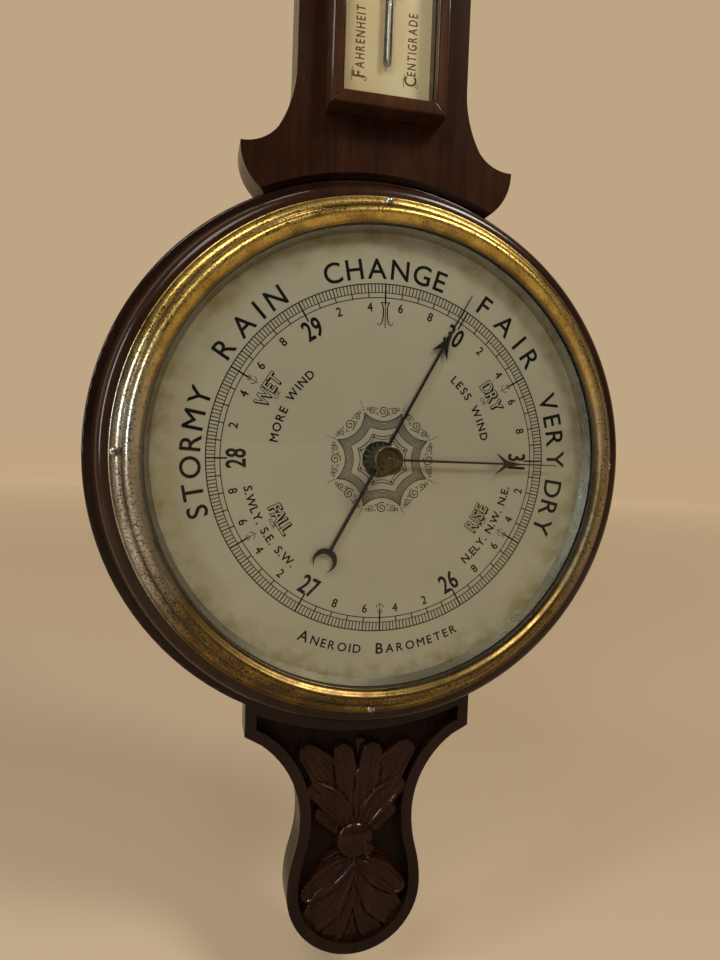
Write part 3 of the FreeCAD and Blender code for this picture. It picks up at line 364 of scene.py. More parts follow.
SLOT_PAINT = {
    "mahogany": WOOD, "dowel_wood": DOWEL, "lacquered_brass": BRASS, "dark_brass": DARK_BRASS,
    "movement_brass": WORK_BRASS, "nickel_silver": NICKEL, "silvered_brass": DIAL,
    "blued_steel": BLUED, "bright_steel": STEEL, "clear_glass": GLASS, "tube_glass": TUBE_GLASS,
    "mercury": MERCURY, "ivory_plate": IVORY, "putty": PUTTY, "japanned_steel": JAPAN,
}
SLOT_OF = {part["node"]: part["material_slot"] for part in frame["record"]["subparts"]}


# ---------------------------------------------------------------- mesh helpers

def smooth(mesh, angle=32):
    """Smooth shading that keeps edges sharper than angle."""
    if "custom_normal" in mesh.attributes:
        mesh.attributes.remove(mesh.attributes["custom_normal"])
    mesh.shade_smooth()
    mesh.set_sharp_from_angle(angle=math.radians(angle))


def piece(name, mesh, slot, paint=None, body="case", replaces=()):
    """A finished object that rides on a CAD body and takes its finish from a record slot."""
    thing = bpy.data.objects.new(name, mesh)
    bpy.context.scene.collection.objects.link(thing)
    mesh.materials.clear()
    mesh.materials.append(paint or SLOT_PAINT[slot])
    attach(thing, body)
    if replaces:
        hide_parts(*replaces)
    return thing


def built(name, maker):
    """Runs maker(bm) on an empty bmesh and returns the finished mesh."""
    bm = bmesh.new()
    maker(bm)
    bmesh.ops.recalc_face_normals(bm, faces=bm.faces)
    mesh = bpy.data.meshes.new(name)
    bm.to_mesh(mesh)
    bm.free()
    return mesh


def arc(centre, radius, start, end, steps):
    """Points (u, v) on a circle, from start to end in degrees."""
    turns = [math.radians(start + (end - start) * index / steps) for index in range(steps + 1)]
    return [(centre[0] + radius * math.cos(turn), centre[1] + radius * math.sin(turn)) for turn in turns]


def lathe(name, profile, segments=360, angle=32):
    """Turns a closed profile of (radius, high) points about the dial's axis."""
    def maker(bm):
        rings = []
        for radius, high in profile:
            if radius < 1e-6:
                rings.append([bm.verts.new(spot(0, high, 0))] * segments)
                continue
            rings.append([bm.verts.new(spot(radius * math.sin(turn), high, radius * math.cos(turn)))
                          for turn in np.linspace(0, 2 * math.pi, segments, endpoint=False)])
        for index, ring in enumerate(rings):
            before = rings[index - 1]
            for side in range(segments):
                corners = [before[side], before[side - 1], ring[side - 1], ring[side]]
                corners = list(dict.fromkeys(corners))
                if len(corners) > 2:
                    bm.faces.new(corners)
    mesh = built(name, maker)
    smooth(mesh, angle)
    return mesh


def eased(node, width=0.7, paint=None, steps=3, angle=40):
    """A copy of a CAD node whose sharp edges are rounded a little, as sanding does."""
    bm = bmesh.new()
    bm.from_mesh(frame["nodes"][node].data)
    bmesh.ops.remove_doubles(bm, verts=bm.verts, dist=2e-6)
    bmesh.ops.dissolve_limit(bm, angle_limit=math.radians(0.4), verts=bm.verts, edges=bm.edges)
    sharp = [edge for edge in bm.edges
             if len(edge.link_faces) == 2 and edge.calc_face_angle(0) > math.radians(angle)]
    bmesh.ops.bevel(bm, geom=sharp, offset=width * MM, segments=steps, profile=0.5, affect="EDGES",
                    clamp_overlap=True, harden_normals=False)
    mesh = bpy.data.meshes.new(node + "_eased")
    bm.to_mesh(mesh)
    bm.free()
    smooth(mesh, 38)
    thing = piece(node + "_finish", mesh, SLOT_OF[node], paint,
                  frame["nodes"][node]["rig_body"], [node])
    thing.modifiers.new("even_shading", "WEIGHTED_NORMAL").keep_sharp = True
    return thing


# ---------------------------------------------------------------- printed figures

PRINT_CENTRE = (1.1, -0.1)     # the print sits a little to the right of the hole
PRINT_TURN = 1.07              # and a degree anticlockwise of upright


class Print:
    """Collects inked shapes on a flat plate that faces the front, as thin closed solids."""

    def __init__(self, high, centre=(0.0, 0.0), turn=0.0, thick=0.03, size=1.0):
        self.bm = bmesh.new()
        self.high, self.centre, self.thick = high, centre, thick
        self.turn, self.size = math.radians(turn), size

    def to_plate(self, u, v):
        """From the print's own (right, up) to the plate; turn is anticlockwise."""
        c, s = math.cos(self.turn) * self.size, math.sin(self.turn) * self.size
        return self.centre[0] + u * c - v * s, self.centre[1] + u * s + v * c

    def solid(self, outline):
        """A closed outline of (u, v) points, inked."""
        top, foot = [], []
        for u, v in outline:
            x, z = self.to_plate(u, v)
            top.append(self.bm.verts.new(spot(x, self.high + self.thick, z)))
            foot.append(self.bm.verts.new(spot(x, self.high, z)))
        self.bm.faces.new(top)
        self.bm.faces.new(foot[::-1])
        for index in range(len(top)):
            self.bm.faces.new([top[index - 1], foot[index - 1], foot[index], top[index]])

    def stroke(self, points, width, closed=False):
        """A line of even or tapering width through points; width may be a list."""
        widths = width if isinstance(width, (list, tuple)) else [width] * len(points)
        count = len(points)
        left, right = [], []
        for index in range(count):
            before = points[index - 1 if closed or index else 0]
            after = points[(index + 1) % count if closed or index < count - 1 else index]
            du, dv = after[0] - before[0], after[1] - before[1]
            size = math.hypot(du, dv) or 1.0
            nu, nv = -dv / size * widths[index] / 2, du / size * widths[index] / 2
            left.append((points[index][0] + nu, points[index][1] + nv))
            right.append((points[index][0] - nu, points[index][1] - nv))
        pairs = range(count) if closed else range(1, count)
        rows = []
        for side in (left, right):
            for lift in (self.thick, 0):
                rows.append([self.bm.verts.new(spot(*self.lifted(u, v, lift))) for u, v in side])
        top_left, foot_left, top_right, foot_right = rows
        for index in pairs:
            back = index - 1
            for a, b in ((top_left, top_right), (foot_right, foot_left), (foot_left, top_left),
                         (top_right, foot_right)):
                self.bm.faces.new([a[back], a[index], b[index], b[back]])
        if not closed:
            for end in (0, -1):
                self.bm.faces.new([top_left[end], top_right[end], foot_right[end], foot_left[end]])

    def lifted(self, u, v, lift):
        x, z = self.to_plate(u, v)
        return x, self.high + lift, z

    def ring(self, radius, width, steps=360):
        self.stroke(arc((0, 0), radius, 0, 360 - 360 / steps, steps - 1), width, closed=True)

    def ray(self, angle, start, end, width):
        """A radial line; angle is clockwise from the top."""
        s, c = math.sin(math.radians(angle)), math.cos(math.radians(angle))
        self.stroke([(start * s, start * c), (end * s, end * c)], width)

    def dot(self, u, v, radius):
        self.solid(arc((u, v), radius, 0, 315, 7))

    def glyph(self, char, tall, wide, bold, u, v, lean, lift=0.0):
        """One letter centred on (u, v); lean turns its top clockwise, in degrees.

        A bold letter is printed several times, each a little apart, as far as bold millimetres.
        """
        verts, faces, width = glyph_shape(char)
        s, c = math.sin(math.radians(lean)), math.cos(math.radians(lean))
        spread = [(0.0, 0.0)] if not bold else arc((0, 0), bold, 45, 315, 3) + arc((0, 0), bold, 0, 270, 3)
        for rank, (away_u, away_v) in enumerate(spread):
            made = []
            for x, y, top in verts:
                gx, gy = (x - width / 2) * tall * wide + away_u, (y - 0.5) * tall + away_v
                pu, pv = u + gx * c + gy * s, v - gx * s + gy * c
                high = lift + 0.002 * rank + (self.thick if top else 0)
                made.append(self.bm.verts.new(spot(*self.lifted(pu, pv, high))))
            for face in faces:
                self.bm.faces.new([made[index] for index in face])

    def word(self, text, radius, start, end, tall, wide=1.0, bold=0.0, inward=False, lift=0.0,
             shift=(0, 0)):
        """Letters on a circle, from start to end in degrees clockwise from the top.

        Tops point outwards, or towards the centre when inward is set.
        """
        places = spaced(text)
        lean_more = 180 if inward else 0
        for char, share in places:
            angle = start + (end - start) * share
            s, c = math.sin(math.radians(angle)), math.cos(math.radians(angle))
            self.glyph(char, tall, wide, bold, radius * s + shift[0], radius * c + shift[1],
                       angle + lean_more, lift)

    def line(self, text, u, v, length, tall, wide=1.0, bold=0.0, lean=0.0, lift=0.0):
        """Letters on a straight line centred on (u, v)."""
        s, c = math.sin(math.radians(lean)), math.cos(math.radians(lean))
        for char, share in spaced(text):
            away = (share - 0.5) * length
            self.glyph(char, tall, wide, bold, u + away * c, v - away * s, lean, lift)

    def finish(self, name, slot, paint, replaces=()):
        bmesh.ops.recalc_face_normals(self.bm, faces=self.bm.faces)
        mesh = bpy.data.meshes.new(name)
        self.bm.to_mesh(mesh)
        self.bm.free()
        return piece(name, mesh, slot, paint, replaces=replaces)


GLYPHS = {}


def text_mesh(char):
    curve = bpy.data.curves.new("glyph", "FONT")
    curve.body, curve.size, curve.extrude, curve.resolution_u = char, 1.0, 0.01, 4
    thing = bpy.data.objects.new("glyph", curve)
    bpy.context.scene.collection.objects.link(thing)
    mesh = bpy.data.meshes.new_from_object(thing)
    bpy.data.objects.remove(thing)
    bpy.data.curves.remove(curve)
    return mesh


def glyph_shape(char):
    """A letter's mesh with capitals one unit tall, standing on 0: (vertices, faces, width)."""
    if char not in GLYPHS:
        highs = [vert.co.y for vert in text_mesh("H").vertices]
        foot, cap = min(highs), max(highs) - min(highs)
        bm = bmesh.new()
        bm.from_mesh(text_mesh(char))
        bmesh.ops.remove_doubles(bm, verts=bm.verts, dist=1e-5)
        verts = [(vert.co.x / cap, (vert.co.y - foot) / cap, vert.co.z > 0) for vert in bm.verts]
        left = min(vert[0] for vert in verts)
        verts = [(x - left, y, top) for x, y, top in verts]
        faces = [[vert.index for vert in face.verts] for face in bm.faces]
        bm.free()
        GLYPHS[char] = (verts, faces, max(vert[0] for vert in verts))
    return GLYPHS[char]


def spaced(text):
    """(character, share of the way) for each letter, with gaps as even as a compositor's."""
    gap = 0.28
    widths = [0.45 if char == " " else glyph_shape(char)[2] for char in text]
    total = sum(widths) + gap * (len(text) - 1)
    places, run = [], 0.0
    for char, width in zip(text, widths):
        if char != " ":
            places.append((char, (run + width / 2) / total))
        run += width + gap
    return places


# ---------------------------------------------------------------- dial print

SCALE_OUT, SCALE_MID, SCALE_IN = 78.8, 74.9, 72.7
FIRST_FIGURE = 26              # inches, at FIRST_ANGLE clockwise from the top
FIRST_ANGLE = 150


def dial_print():
    return Print(DIAL_FRONT, PRINT_CENTRE, PRINT_TURN, size=1.007)


def dial_scale():
    scale = dial_print()
    scale.ring(SCALE_OUT, 0.5)
    scale.ring(SCALE_MID, 0.36)
    scale.ring(SCALE_IN, 0.42)
    for index in range(300):
        angle = index * 1.2
        if index % 25 == 0:
            scale.ray(angle, 69.6, SCALE_OUT + 0.2, 0.75)
        elif index % 5 == 0:
            scale.ray(angle, SCALE_IN, SCALE_OUT, 0.5)
        else:
            scale.ray(angle, SCALE_MID, SCALE_OUT, 0.42)
    scale.finish("dial_scale_print", "silvered_brass", INK)


def dial_figures():
    figures = dial_print()
    for index in range(30):
        angle = (FIRST_ANGLE + 12 * index) % 360
        inward = 95 < angle < 265
        if index % 5 == 0:
            reach = -3.3 if inward else 3.3
            figures.word(str(FIRST_FIGURE + index // 5), 66.0, angle - reach, angle + reach,
                         8.3, 0.68, 0.23, inward)
        else:
            figures.word(str(2 * (index % 5)), 68.6, angle, angle, 3.8, 0.9, 0.1, inward)
    figures.finish("dial_figures_print", "silvered_brass", INK)


def weather_words():
    words = dial_print()
    for text, start, end in (("CHANGE", -19.2, 19.2), ("RAIN", -59.5, -31.8), ("FAIR", 31.4, 59.2),
                             ("STORMY", -107.5, -69.4), ("VERY", 68.2, 92.0), ("DRY", 96.4, 113.8)):
        words.word(text, 85.4 if end < 30 else 86.0, start, end, 8.7, 1.0, 0.13)
    for text, start, end in (("NEROID", 201.4, 185.7), ("AROMETER", 178.0, 154.8)):
        words.word(text, 87.4, start, end, 3.8, 1.0, 0.1, True)
    for text, angle in (("A", 203.8), ("B", 179.9)):
        words.word(text, 87.1, angle, angle, 4.8, 1.0, 0.12, True)
    words.finish("dial_weather_words", "silvered_brass", INK)


def forecast_words():
    """The shaded small headings, each with its line of advice."""
    shade = dial_print()
    light = dial_print()
    for text, angle, reach, inward in (("WET", -60, 6.6, False), ("DRY", 60, 6.2, False),
                                       ("FALL", -120, 6.8, True), ("RISE", 120, 6.6, True)):
        radius = 60.5 if not inward else 53.5
        start, end = (angle - reach, angle + reach) if not inward else (angle + reach, angle - reach)
        shade.word(text, radius, start, end, 5.7, 0.85, 0.36, inward)
        shade.word(text, radius, start, end, 5.7, 0.85, 0.3, inward, shift=(0.45, -0.45))
        light.word(text, radius, start, end, 5.7, 0.85, 0.0, inward, lift=0.03)
    for text, radius, angle in (("OR", 55.6, -60), ("OR", 55.6, 60), ("FOR", 57.6, -120),
                                ("FOR", 57.6, 120)):
        inward = abs(angle) > 90
        reach = 1.9 if not inward else -2.2
        shade.word(text, radius, angle - reach, angle + reach, 1.8, 0.95, 0.0, inward)
    for text, radius, start, end, inward in (
            ("MORE WIND", 50.2, -81.5, -40.5, False), ("LESS WIND", 50.2, 41, 79, False),
            ("S.WLY. S.E. S.W.", 62.0, -101.5, -139.5, True),
            ("N.ELY. N.W. N.E.", 62.0, 139.5, 101.5, True)):
        shade.word(text, radius, start, end, 3.6, 1.0, 0.12, inward)
    shade.finish("dial_forecast_words", "silvered_brass", INK)
    light.finish("dial_forecast_lights", "silvered_brass", DIAL)


def spiral(centre, size, start, turns, way=1, steps=26):
    """A curl that winds in to its centre."""
    points = []
    for index in range(steps + 1):
        share = index / steps
        turn = math.radians(start) + way * share * turns * 2 * math.pi
        reach = size * (1 - 0.86 * share)
        points.append((centre[0] + reach * math.cos(turn), centre[1] + reach * math.sin(turn)))
    return points


def turned_points(points, angle):
    """Points turned clockwise about the print's centre."""
    s, c = math.sin(math.radians(angle)), math.cos(math.radians(angle))
    return [(u * c + v * s, v * c - u * s) for u, v in points]


def scallop(tip, middle, angle, steps=18):
    """One hollow side of an eight-pointed star, centred on angle: from point to point."""
    half = math.radians(22.5)
    side = tip * math.sin(half)
    sag = tip * math.cos(half) - middle
    radius = (side ** 2 + sag ** 2) / (2 * sag)
    reach = math.degrees(math.asin(min(side / radius, 1.0)))
    points = arc((0, middle + radius), radius, -90 - reach, -90 + reach, steps)
    return turned_points(points, angle)


def centre_ornament():
    """An eight-pointed star with hollow sides, ringed by scrolls and beads."""
    star = dial_print()
    for index in range(8):
        angle = 45 * index
        for step in range(7):
            share = step / 6
            star.stroke(scallop(22.9 - 6.6 * share, 17.3 - 3.6 * share, angle),
                        0.42 if step in (0, 6) else 0.3)
        for tip, middle, width in ((12.6, 10.5, 0.42), (11.0, 9.2, 0.3)):
            star.stroke(scallop(tip, middle, angle), width)
        star.solid(turned_points([(-0.75, 10.6), (0.75, 10.6), (0, 11.9)], angle + 22.5))
        star.stroke(turned_points(spiral((0, 21.9), 2.5, 250, 1.7, 1), angle), 0.42)
        for side in (-1, 1):
            start = 90 + side * 60
            star.stroke(turned_points(spiral((side * 4.9, 22.0), 1.6, start, 1.5, -side), angle), 0.36)
            star.stroke(turned_points(spiral((side * 7.2, 22.9), 1.0, start, 1.2, side), angle), 0.3)
            stem = [(side * 1.9, 20.1), (side * 2.9, 20.6), (side * 3.6, 20.8)]
            star.stroke(turned_points(stem, angle), [0.2, 0.42, 0.3])
            for u, v, size in ((2.9, 23.2, 0.34), (2.7, 21.4, 0.28), (6.1, 23.6, 0.26)):
                star.dot(*turned_points([(side * u, v)], angle)[0], size)
        for step in range(4):
            star.dot(*turned_points([(0, 24.2 + 1.3 * step)], angle + 22.5)[0], 0.36 - 0.04 * step)
    star.finish("dial_centre_ornament", "silvered_brass", INK)


def dust_shield():
    """The dark disc with a notched star that is seen inside the dial's hole, round the arbors."""
    low, count = DIAL_FRONT - 1.1, 32
    turns = [math.radians(360 * index / count) for index in range(count)]

    def plate(name, radii, foot, top, slot, paint):
        def maker(bm):
            loops = []
            for reach, high in ((radii, foot), (radii, top), ((3, 3), top), ((3, 3), foot)):
                places = [(reach[index % 2], turn) for index, turn in enumerate(turns)]
                loops.append([bm.verts.new(spot(radius * math.sin(turn), high, radius * math.cos(turn)))
                              for radius, turn in places])
            for row, after in zip(loops, loops[1:] + loops[:1]):
                for index in range(count):
                    bm.faces.new([row[index - 1], row[index], after[index], after[index - 1]])
        piece(name, built(name, maker), slot, paint)
    plate("dial_dust_disc", (8.25, 8.25), low, low + 0.4, "japanned_steel", JAPAN)
    plate("dial_dust_star", (5.2, 7.9), low + 0.4, low + 0.7, "bright_steel", SHIELD)


def half_inch_marks():
    """A tall bell at the top of the scale, and small tridents at the other half inches."""
    marks = dial_print()
    for side in (-1, 1):
        marks.stroke([(side * 2.3, 70.6), (side * 1.5, 70.2), (side * 0.9, 68), (side * 0.9, 64.5),
                      (side * 1.5, 61.6), (side * 2.6, 60.4), (side * 3.6, 60.9), (side * 3.4, 61.8)],
                     [0.2, 0.5, 0.6, 0.6, 0.5, 0.4, 0.3, 0.2])
    marks.stroke([(-2.3, 70.6), (2.3, 70.6)], 0.35)
    marks.stroke([(0, 69.8), (0, 60.2)], [0.3, 0.5])
    marks.dot(0, 59.6, 0.35)
    for angle in (60, 120, 180, 240, 300):
        marks.stroke(turned_points([(0, 72.5), (0, 65.4)], angle), 0.3)
        for side in (-1, 1):
            for foot, wide in ((70.0, 1.0), (67.6, 1.6)):
                curve = [(0, foot - 1.2), (side * 0.6 * wide, foot - 0.9), (side * wide, foot),
                         (side * 1.1 * wide, foot + 0.7)]
                marks.stroke(turned_points(curve, angle), [0.15, 0.32, 0.32, 0.15])
    marks.finish("dial_half_inch_marks", "silvered_brass", INK)


# ---------------------------------------------------------------- thermometer print

def thermometer_print():
    plate_high = front("scale_plate")
    low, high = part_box("scale_plate")
    bottom, top = low.z / MM, high.z / MM
    scale = Print(plate_high)
    for text, u, first in (("AHRENHEIT", -12.6, "F"), ("ENTIGRADE", 12.4, "C")):
        scale.line(text, u, bottom + 29.4, 28.4, 4.2, 0.68, 0.08, -90)
        scale.line(first, u - 0.3, bottom + 12.6, 0.1, 5.8, 0.8, 0.13, -90)
        scale.stroke(spiral((u + 2.6, bottom + 10.6), 1.4, 180, 1.1, -1), 0.35)
        scale.stroke([(u - 3.4, bottom + 9.4), (u - 3.9, bottom + 12.0), (u - 3.2, bottom + 15.6)], 0.3)
    # Fahrenheit 10 to 110 on the left and the matching Centigrade on the right
    reading_low, degree = bottom + 48.0, (top - bottom - 70.0) / 100.0
    for side, values, share, freezing in ((-1, range(10, 111), 1, 0), (1, range(-12, 44), 1.8, 32)):
        for value in values:
            z = reading_low + (value * share + freezing - 10) * degree
            long = 5.6 if value % 10 == 0 else 4.2 if value % 5 == 0 else 2.8
            scale.stroke([(side * 3.4, z), (side * (3.4 + long), z)], 0.3 if value % 10 == 0 else 0.2)
            if value % 10 == 0:
                scale.line(str(abs(value)), side * 14.0, z, 3.6 if value else 0.1, 4.2, 0.75, 0.07)
    for side in (-1, 1):
        scale.stroke([(side * 3.2, reading_low - 2), (side * 3.2, reading_low + 100 * degree + 2)], 0.25)
    scale.finish("thermometer_scale_print", "ivory_plate", GOLD_INK)


# ---------------------------------------------------------------- carving

def span01(value, low, high):
    share = np.clip((value - low) / (high - low), 0, 1)
    return share * share * (3 - 2 * share)


class Petal:
    """One lobe of a carved leaf: a bent spine, a width along it, and a height along it."""

    def __init__(self, base, bend, tip, widths, highs, vein=0.45, curl=0.0, ribs=0):
        ts = np.linspace(0, 1, 40)[:, None]
        base, bend, tip = (np.array(point, float) for point in (base, bend, tip))
        self.spine = (1 - ts) ** 2 * base + 2 * ts * (1 - ts) * bend + ts ** 2 * tip
        self.ts = ts[:, 0]
        self.width = np.interp(self.ts, np.linspace(0, 1, len(widths)), widths)
        self.highs, self.vein, self.curl, self.ribs = highs, vein, curl, ribs

    def at(self, x, z):
        """(how far inside the lobe, its height, the share along it) on the grid."""
        dx, dz = x[..., None] - self.spine[:, 0], z[..., None] - self.spine[:, 1]
        away = np.sqrt(dx * dx + dz * dz)
        inside = self.width - away
        best = inside.argmax(-1)
        depth = np.take_along_axis(inside, best[..., None], -1)[..., 0]
        away = np.take_along_axis(away, best[..., None], -1)[..., 0]
        width = self.width[best]
        share = np.clip(away / width, 0, 1)
        along = self.ts[best]
        high = np.interp(along, np.linspace(0, 1, len(self.highs)), self.highs)
        high = high - 0.5 * share ** 2 + 1.6 * self.curl * span01(share, 0.5, 0.9)
        high = high - self.vein * np.exp(-(away / 0.45) ** 2) * span01(along, 0.02, 0.2)
        for place, deep in ((0.32, 0.6), (0.6, 0.45))[:self.ribs]:
            high = high - deep * np.exp(-((share - place) / 0.08) ** 2) * span01(1 - along, 0.04, 0.3)
        return depth, high, along


def both_sides(*petals):
    """Each lobe and its mirror image."""
    found = []
    for base, bend, tip, *rest in petals:
        for side in (-1, 1):
            flipped = [(side * point[0], point[1]) for point in (base, bend, tip)]
            found.append(Petal(*flipped, *rest))
    return found


def leaf_field(petals, floor):
    """Height of a spray of lobes; later lobes lie over earlier ones."""
    def height(x, z):
        best = np.full(x.shape, floor - 1.2)
        reach = np.full(x.shape, -9.0)
        for petal in petals:
            depth, high, along = petal.at(x, z)
            parted = span01(along, 0.35, 0.75) * (best > floor)
            best = best - 0.7 * np.exp(-((depth + 0.45) / 0.5) ** 2) * parted
            cover = span01(depth, -0.3, 0.35)
            best = best + (np.maximum(high, best - 0.4) - best) * cover
            reach = np.maximum(reach, depth)
        return best, reach
    return height


def relief(name, field, box, step, foot, slot, paint, replaces=(), top=99.0, keep=None):
    """A closed carved solid: field(x, z) gives height and how far inside the shape a point is."""
    x0, x1, z0, z1 = box
    xs, zs = np.arange(x0, x1 + step / 2, step), np.arange(z0, z1 + step / 2, step)
    gx, gz = np.meshgrid(xs, zs)
    high, inside = field(gx, gz)
    high = np.minimum(high, top)
    wanted = inside > -0.7
    if keep is not None:
        wanted &= keep(gx, gz)
    cells = wanted[:-1, :-1] & wanted[1:, :-1] & wanted[:-1, 1:] & wanted[1:, 1:]
    used = np.zeros(gx.shape, bool)
    for dz in (0, 1):
        for dx in (0, 1):
            used[dz:dz + cells.shape[0], dx:dx + cells.shape[1]] |= cells
    number = -np.ones(gx.shape, int)
    number[used] = np.arange(used.sum())
    count = int(used.sum())
    tops = np.stack([gx[used], -high[used], gz[used]], 1)
    feet = np.stack([gx[used], np.full(count, -float(foot)), gz[used]], 1)
    rows, cols = np.nonzero(cells)
    quads = np.stack([number[rows, cols], number[rows, cols + 1], number[rows + 1, cols + 1],
                      number[rows + 1, cols]], 1)
    edges = np.concatenate([quads[:, [side, (side + 1) % 4]] for side in range(4)])
    known = set(map(tuple, edges.tolist()))
    rim = [(a, b) for a, b in known if (b, a) not in known]
    sides = [(b, a, a + count, b + count) for a, b in sorted(rim)]
    faces = quads.tolist() + (quads[:, ::-1] + count).tolist() + sides
    mesh = bpy.data.meshes.new(name)
    mesh.from_pydata((np.concatenate([tops, feet]) * MM).tolist(), [], faces)
    mesh.update()
    smooth(mesh, 60)
    return piece(name, mesh, slot, paint, replaces=replaces)


def ground_mask(node, ground, reach=0.9):
    """Tells where a board's sunk ground lies, and a little way under its border."""
    bm = bmesh.new()
    bm.from_mesh(frame["nodes"][node].data)
    tree = BVHTree.FromBMesh(bm)
    bm.free()

    def open_at(x, z):
        start = Vector((x * MM, -0.1, z * MM))
        found = tree.ray_cast(start, Vector((0, 1, 0)))[0]
        return found is not None and -found.y / MM < ground + 1.0

    def keep(gx, gz):
        hit = np.array([[open_at(x, z) for x, z in zip(rx, rz)] for rx, rz in zip(gx, gz)])
        hit[[0, -1], :] = hit[:, [0, -1]] = False
        grown = hit.copy()
        for away in range(1, int(reach / (gx[0, 1] - gx[0, 0])) + 1):
            grown[away:, :] |= hit[:-away, :]
            grown[:-away, :] |= hit[away:, :]
            grown[:, away:] |= hit[:, :-away]
            grown[:, :-away] |= hit[:, away:]
        return grown
    return keep


def stippled(ground, seed):
    """A punched ground: a low surface with small round dents in rough rows."""
    def field(gx, gz):
        rng = np.random.default_rng(seed)
        pitch = 1.5
        x0, z0 = gx.min(), gz.min()
        cols, rows = int((gx.max() - x0) / pitch) + 2, int((gz.max() - z0) / pitch) + 2
        jitter = rng.uniform(-0.35, 0.35, (rows, cols, 2))
        depth = rng.uniform(0.3, 0.6, (rows, cols))
        high = np.full(gx.shape, ground + 0.65)
        ci, ri = (gx - x0) / pitch, (gz - z0) / pitch
        for dr in (-1, 0, 1):
            for dc in (-1, 0, 1):
                r = np.clip(np.floor(ri).astype(int) + dr, 0, rows - 1)
                c = np.clip(np.floor(ci).astype(int) + dc, 0, cols - 1)
                away = np.hypot(ri - r - 0.5 - jitter[r, c, 0], ci - c - 0.5 - jitter[r, c, 1]) * pitch
                high = high - depth[r, c] * np.exp(-(away / 0.42) ** 2)
        return np.maximum(high, ground + 0.02), np.full(gx.shape, 1.0)
    return field


def boss_field(centre, radius, floor, top):
    """A round boss with a small leaf that curls over its lower right."""
    curl = Petal((centre[0] + 1.5, centre[1] - radius - 1), (centre[0] + 1.0, centre[1] - 2),
                 (centre[0] + 6.5, centre[1] - 2.5), [3.2, 4.4, 2.6], [15.5, 19.2, 19.4], 0.25, 0.6)

    def field(gx, gz):
        away = np.hypot(gx - centre[0], gz - centre[1])
        dome = floor + 2.6 + (top - floor - 3.2) * np.sqrt(np.clip(1 - (away / (radius + 0.4)) ** 2, 0, 1))
        depth = radius - away
        dome = floor - 1.2 + (dome - floor + 1.2) * span01(depth, -0.35, 0.45)
        inside, high, _ = curl.at(gx, gz)
        leaf = np.where(depth > -0.2, high * span01(inside, -0.2, 0.4), 0)
        return np.maximum(dome, leaf), depth
    return field


def drop_carvings():
    """The punched ground of the drop, its two leaf sprays and the boss between them."""
    floor = DROP_GROUND
    stipple_box = (-54, 54, -246, -108)
    relief("drop_ground_stipple", stippled(floor, 7), stipple_box, 0.45, floor - 0.3, "mahogany", GROUND,
           keep=ground_mask("case_board", floor))
    upper = [Petal((0, -190), (0, -175), (0, -158), [3.6, 6.0, 4.4], [16.0, 16.6, 16.2], 0.4, 0.0, 2),
             Petal((1.5, -160), (1.5, -150), (1.6, -142.2), [1.0, 2.0, 2.9], [13, 13.8, 14.4], 0.3, 0.2)]
    upper += both_sides(
        ((3, -184), (9, -161), (24.2, -146.6), [2, 6, 8.8, 5.6], [15.0, 16.4, 16.8, 15.4], 0.5, 0.5, 2),
        ((1.6, -184), (3.6, -166), (7.4, -146.6), [2.6, 4.0, 6.0, 5.2], [16.0, 17.0, 17.4, 16.2],
         0.5, 0.3, 2),
        ((4, -188), (9, -182), (16.8, -177.2), [2.2, 4.8, 4.2], [14.0, 15.8, 14.8], 0.4, 0.5, 1),
        ((3, -186), (8, -170), (21.2, -164.8), [2.2, 5.0, 6.2, 4.4], [15.4, 17.2, 17.4, 15.8], 0.5, 0.6, 2),
    )
    relief("drop_spray_upper", leaf_field(upper, floor), (-34, 34, -194, -138), 0.3, floor - 1.5,
           "mahogany", CARVED, ["drop_leaf_upper"], top=front("drop_leaf_upper"))
    lower = [Petal((0, -198), (0, -222), (0, -242.6), [3.6, 5.4, 4.8], [17.0, 16.6, 14.6], 0.4, 0.2, 2)]
    lower += both_sides(
        ((1, -208), (4, -225), (9.8, -238.6), [2.4, 5.0, 6.2], [16.4, 16.4, 15.0], 0.5, 0.4, 2),
        ((2, -206), (9, -218), (21.4, -232.4), [2.4, 5.6, 8.8, 6.8], [16.0, 16.6, 16.8, 15.2], 0.5, 0.6, 2),
        ((2, -199), (7, -198.5), (13.8, -204.0), [2.0, 4.0, 3.8], [14.6, 15.6, 14.4], 0.4, 0.5, 1),
        ((2, -202), (9, -205), (22.2, -216.6), [2.4, 5.0, 6.8, 4.8], [16.0, 16.8, 17.2, 15.8], 0.5, 0.9, 2),
    )
    relief("drop_spray_lower", leaf_field(lower, floor), (-31, 31, -248.5, -194), 0.3, floor - 1.5,
           "mahogany", CARVED, ["drop_leaf_lower"], top=front("drop_leaf_lower"))
    low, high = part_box("drop_boss")
    centre, radius = (0.0, (low.z + high.z) / 2 / MM), (high.x - low.x) / 2 / MM
    relief("drop_boss_carved", boss_field(centre, radius, floor, front("drop_boss")),
           (-12, 12, centre[1] - 12, centre[1] + 12), 0.3, floor - 1.5, "mahogany", CARVED, ["drop_boss"])


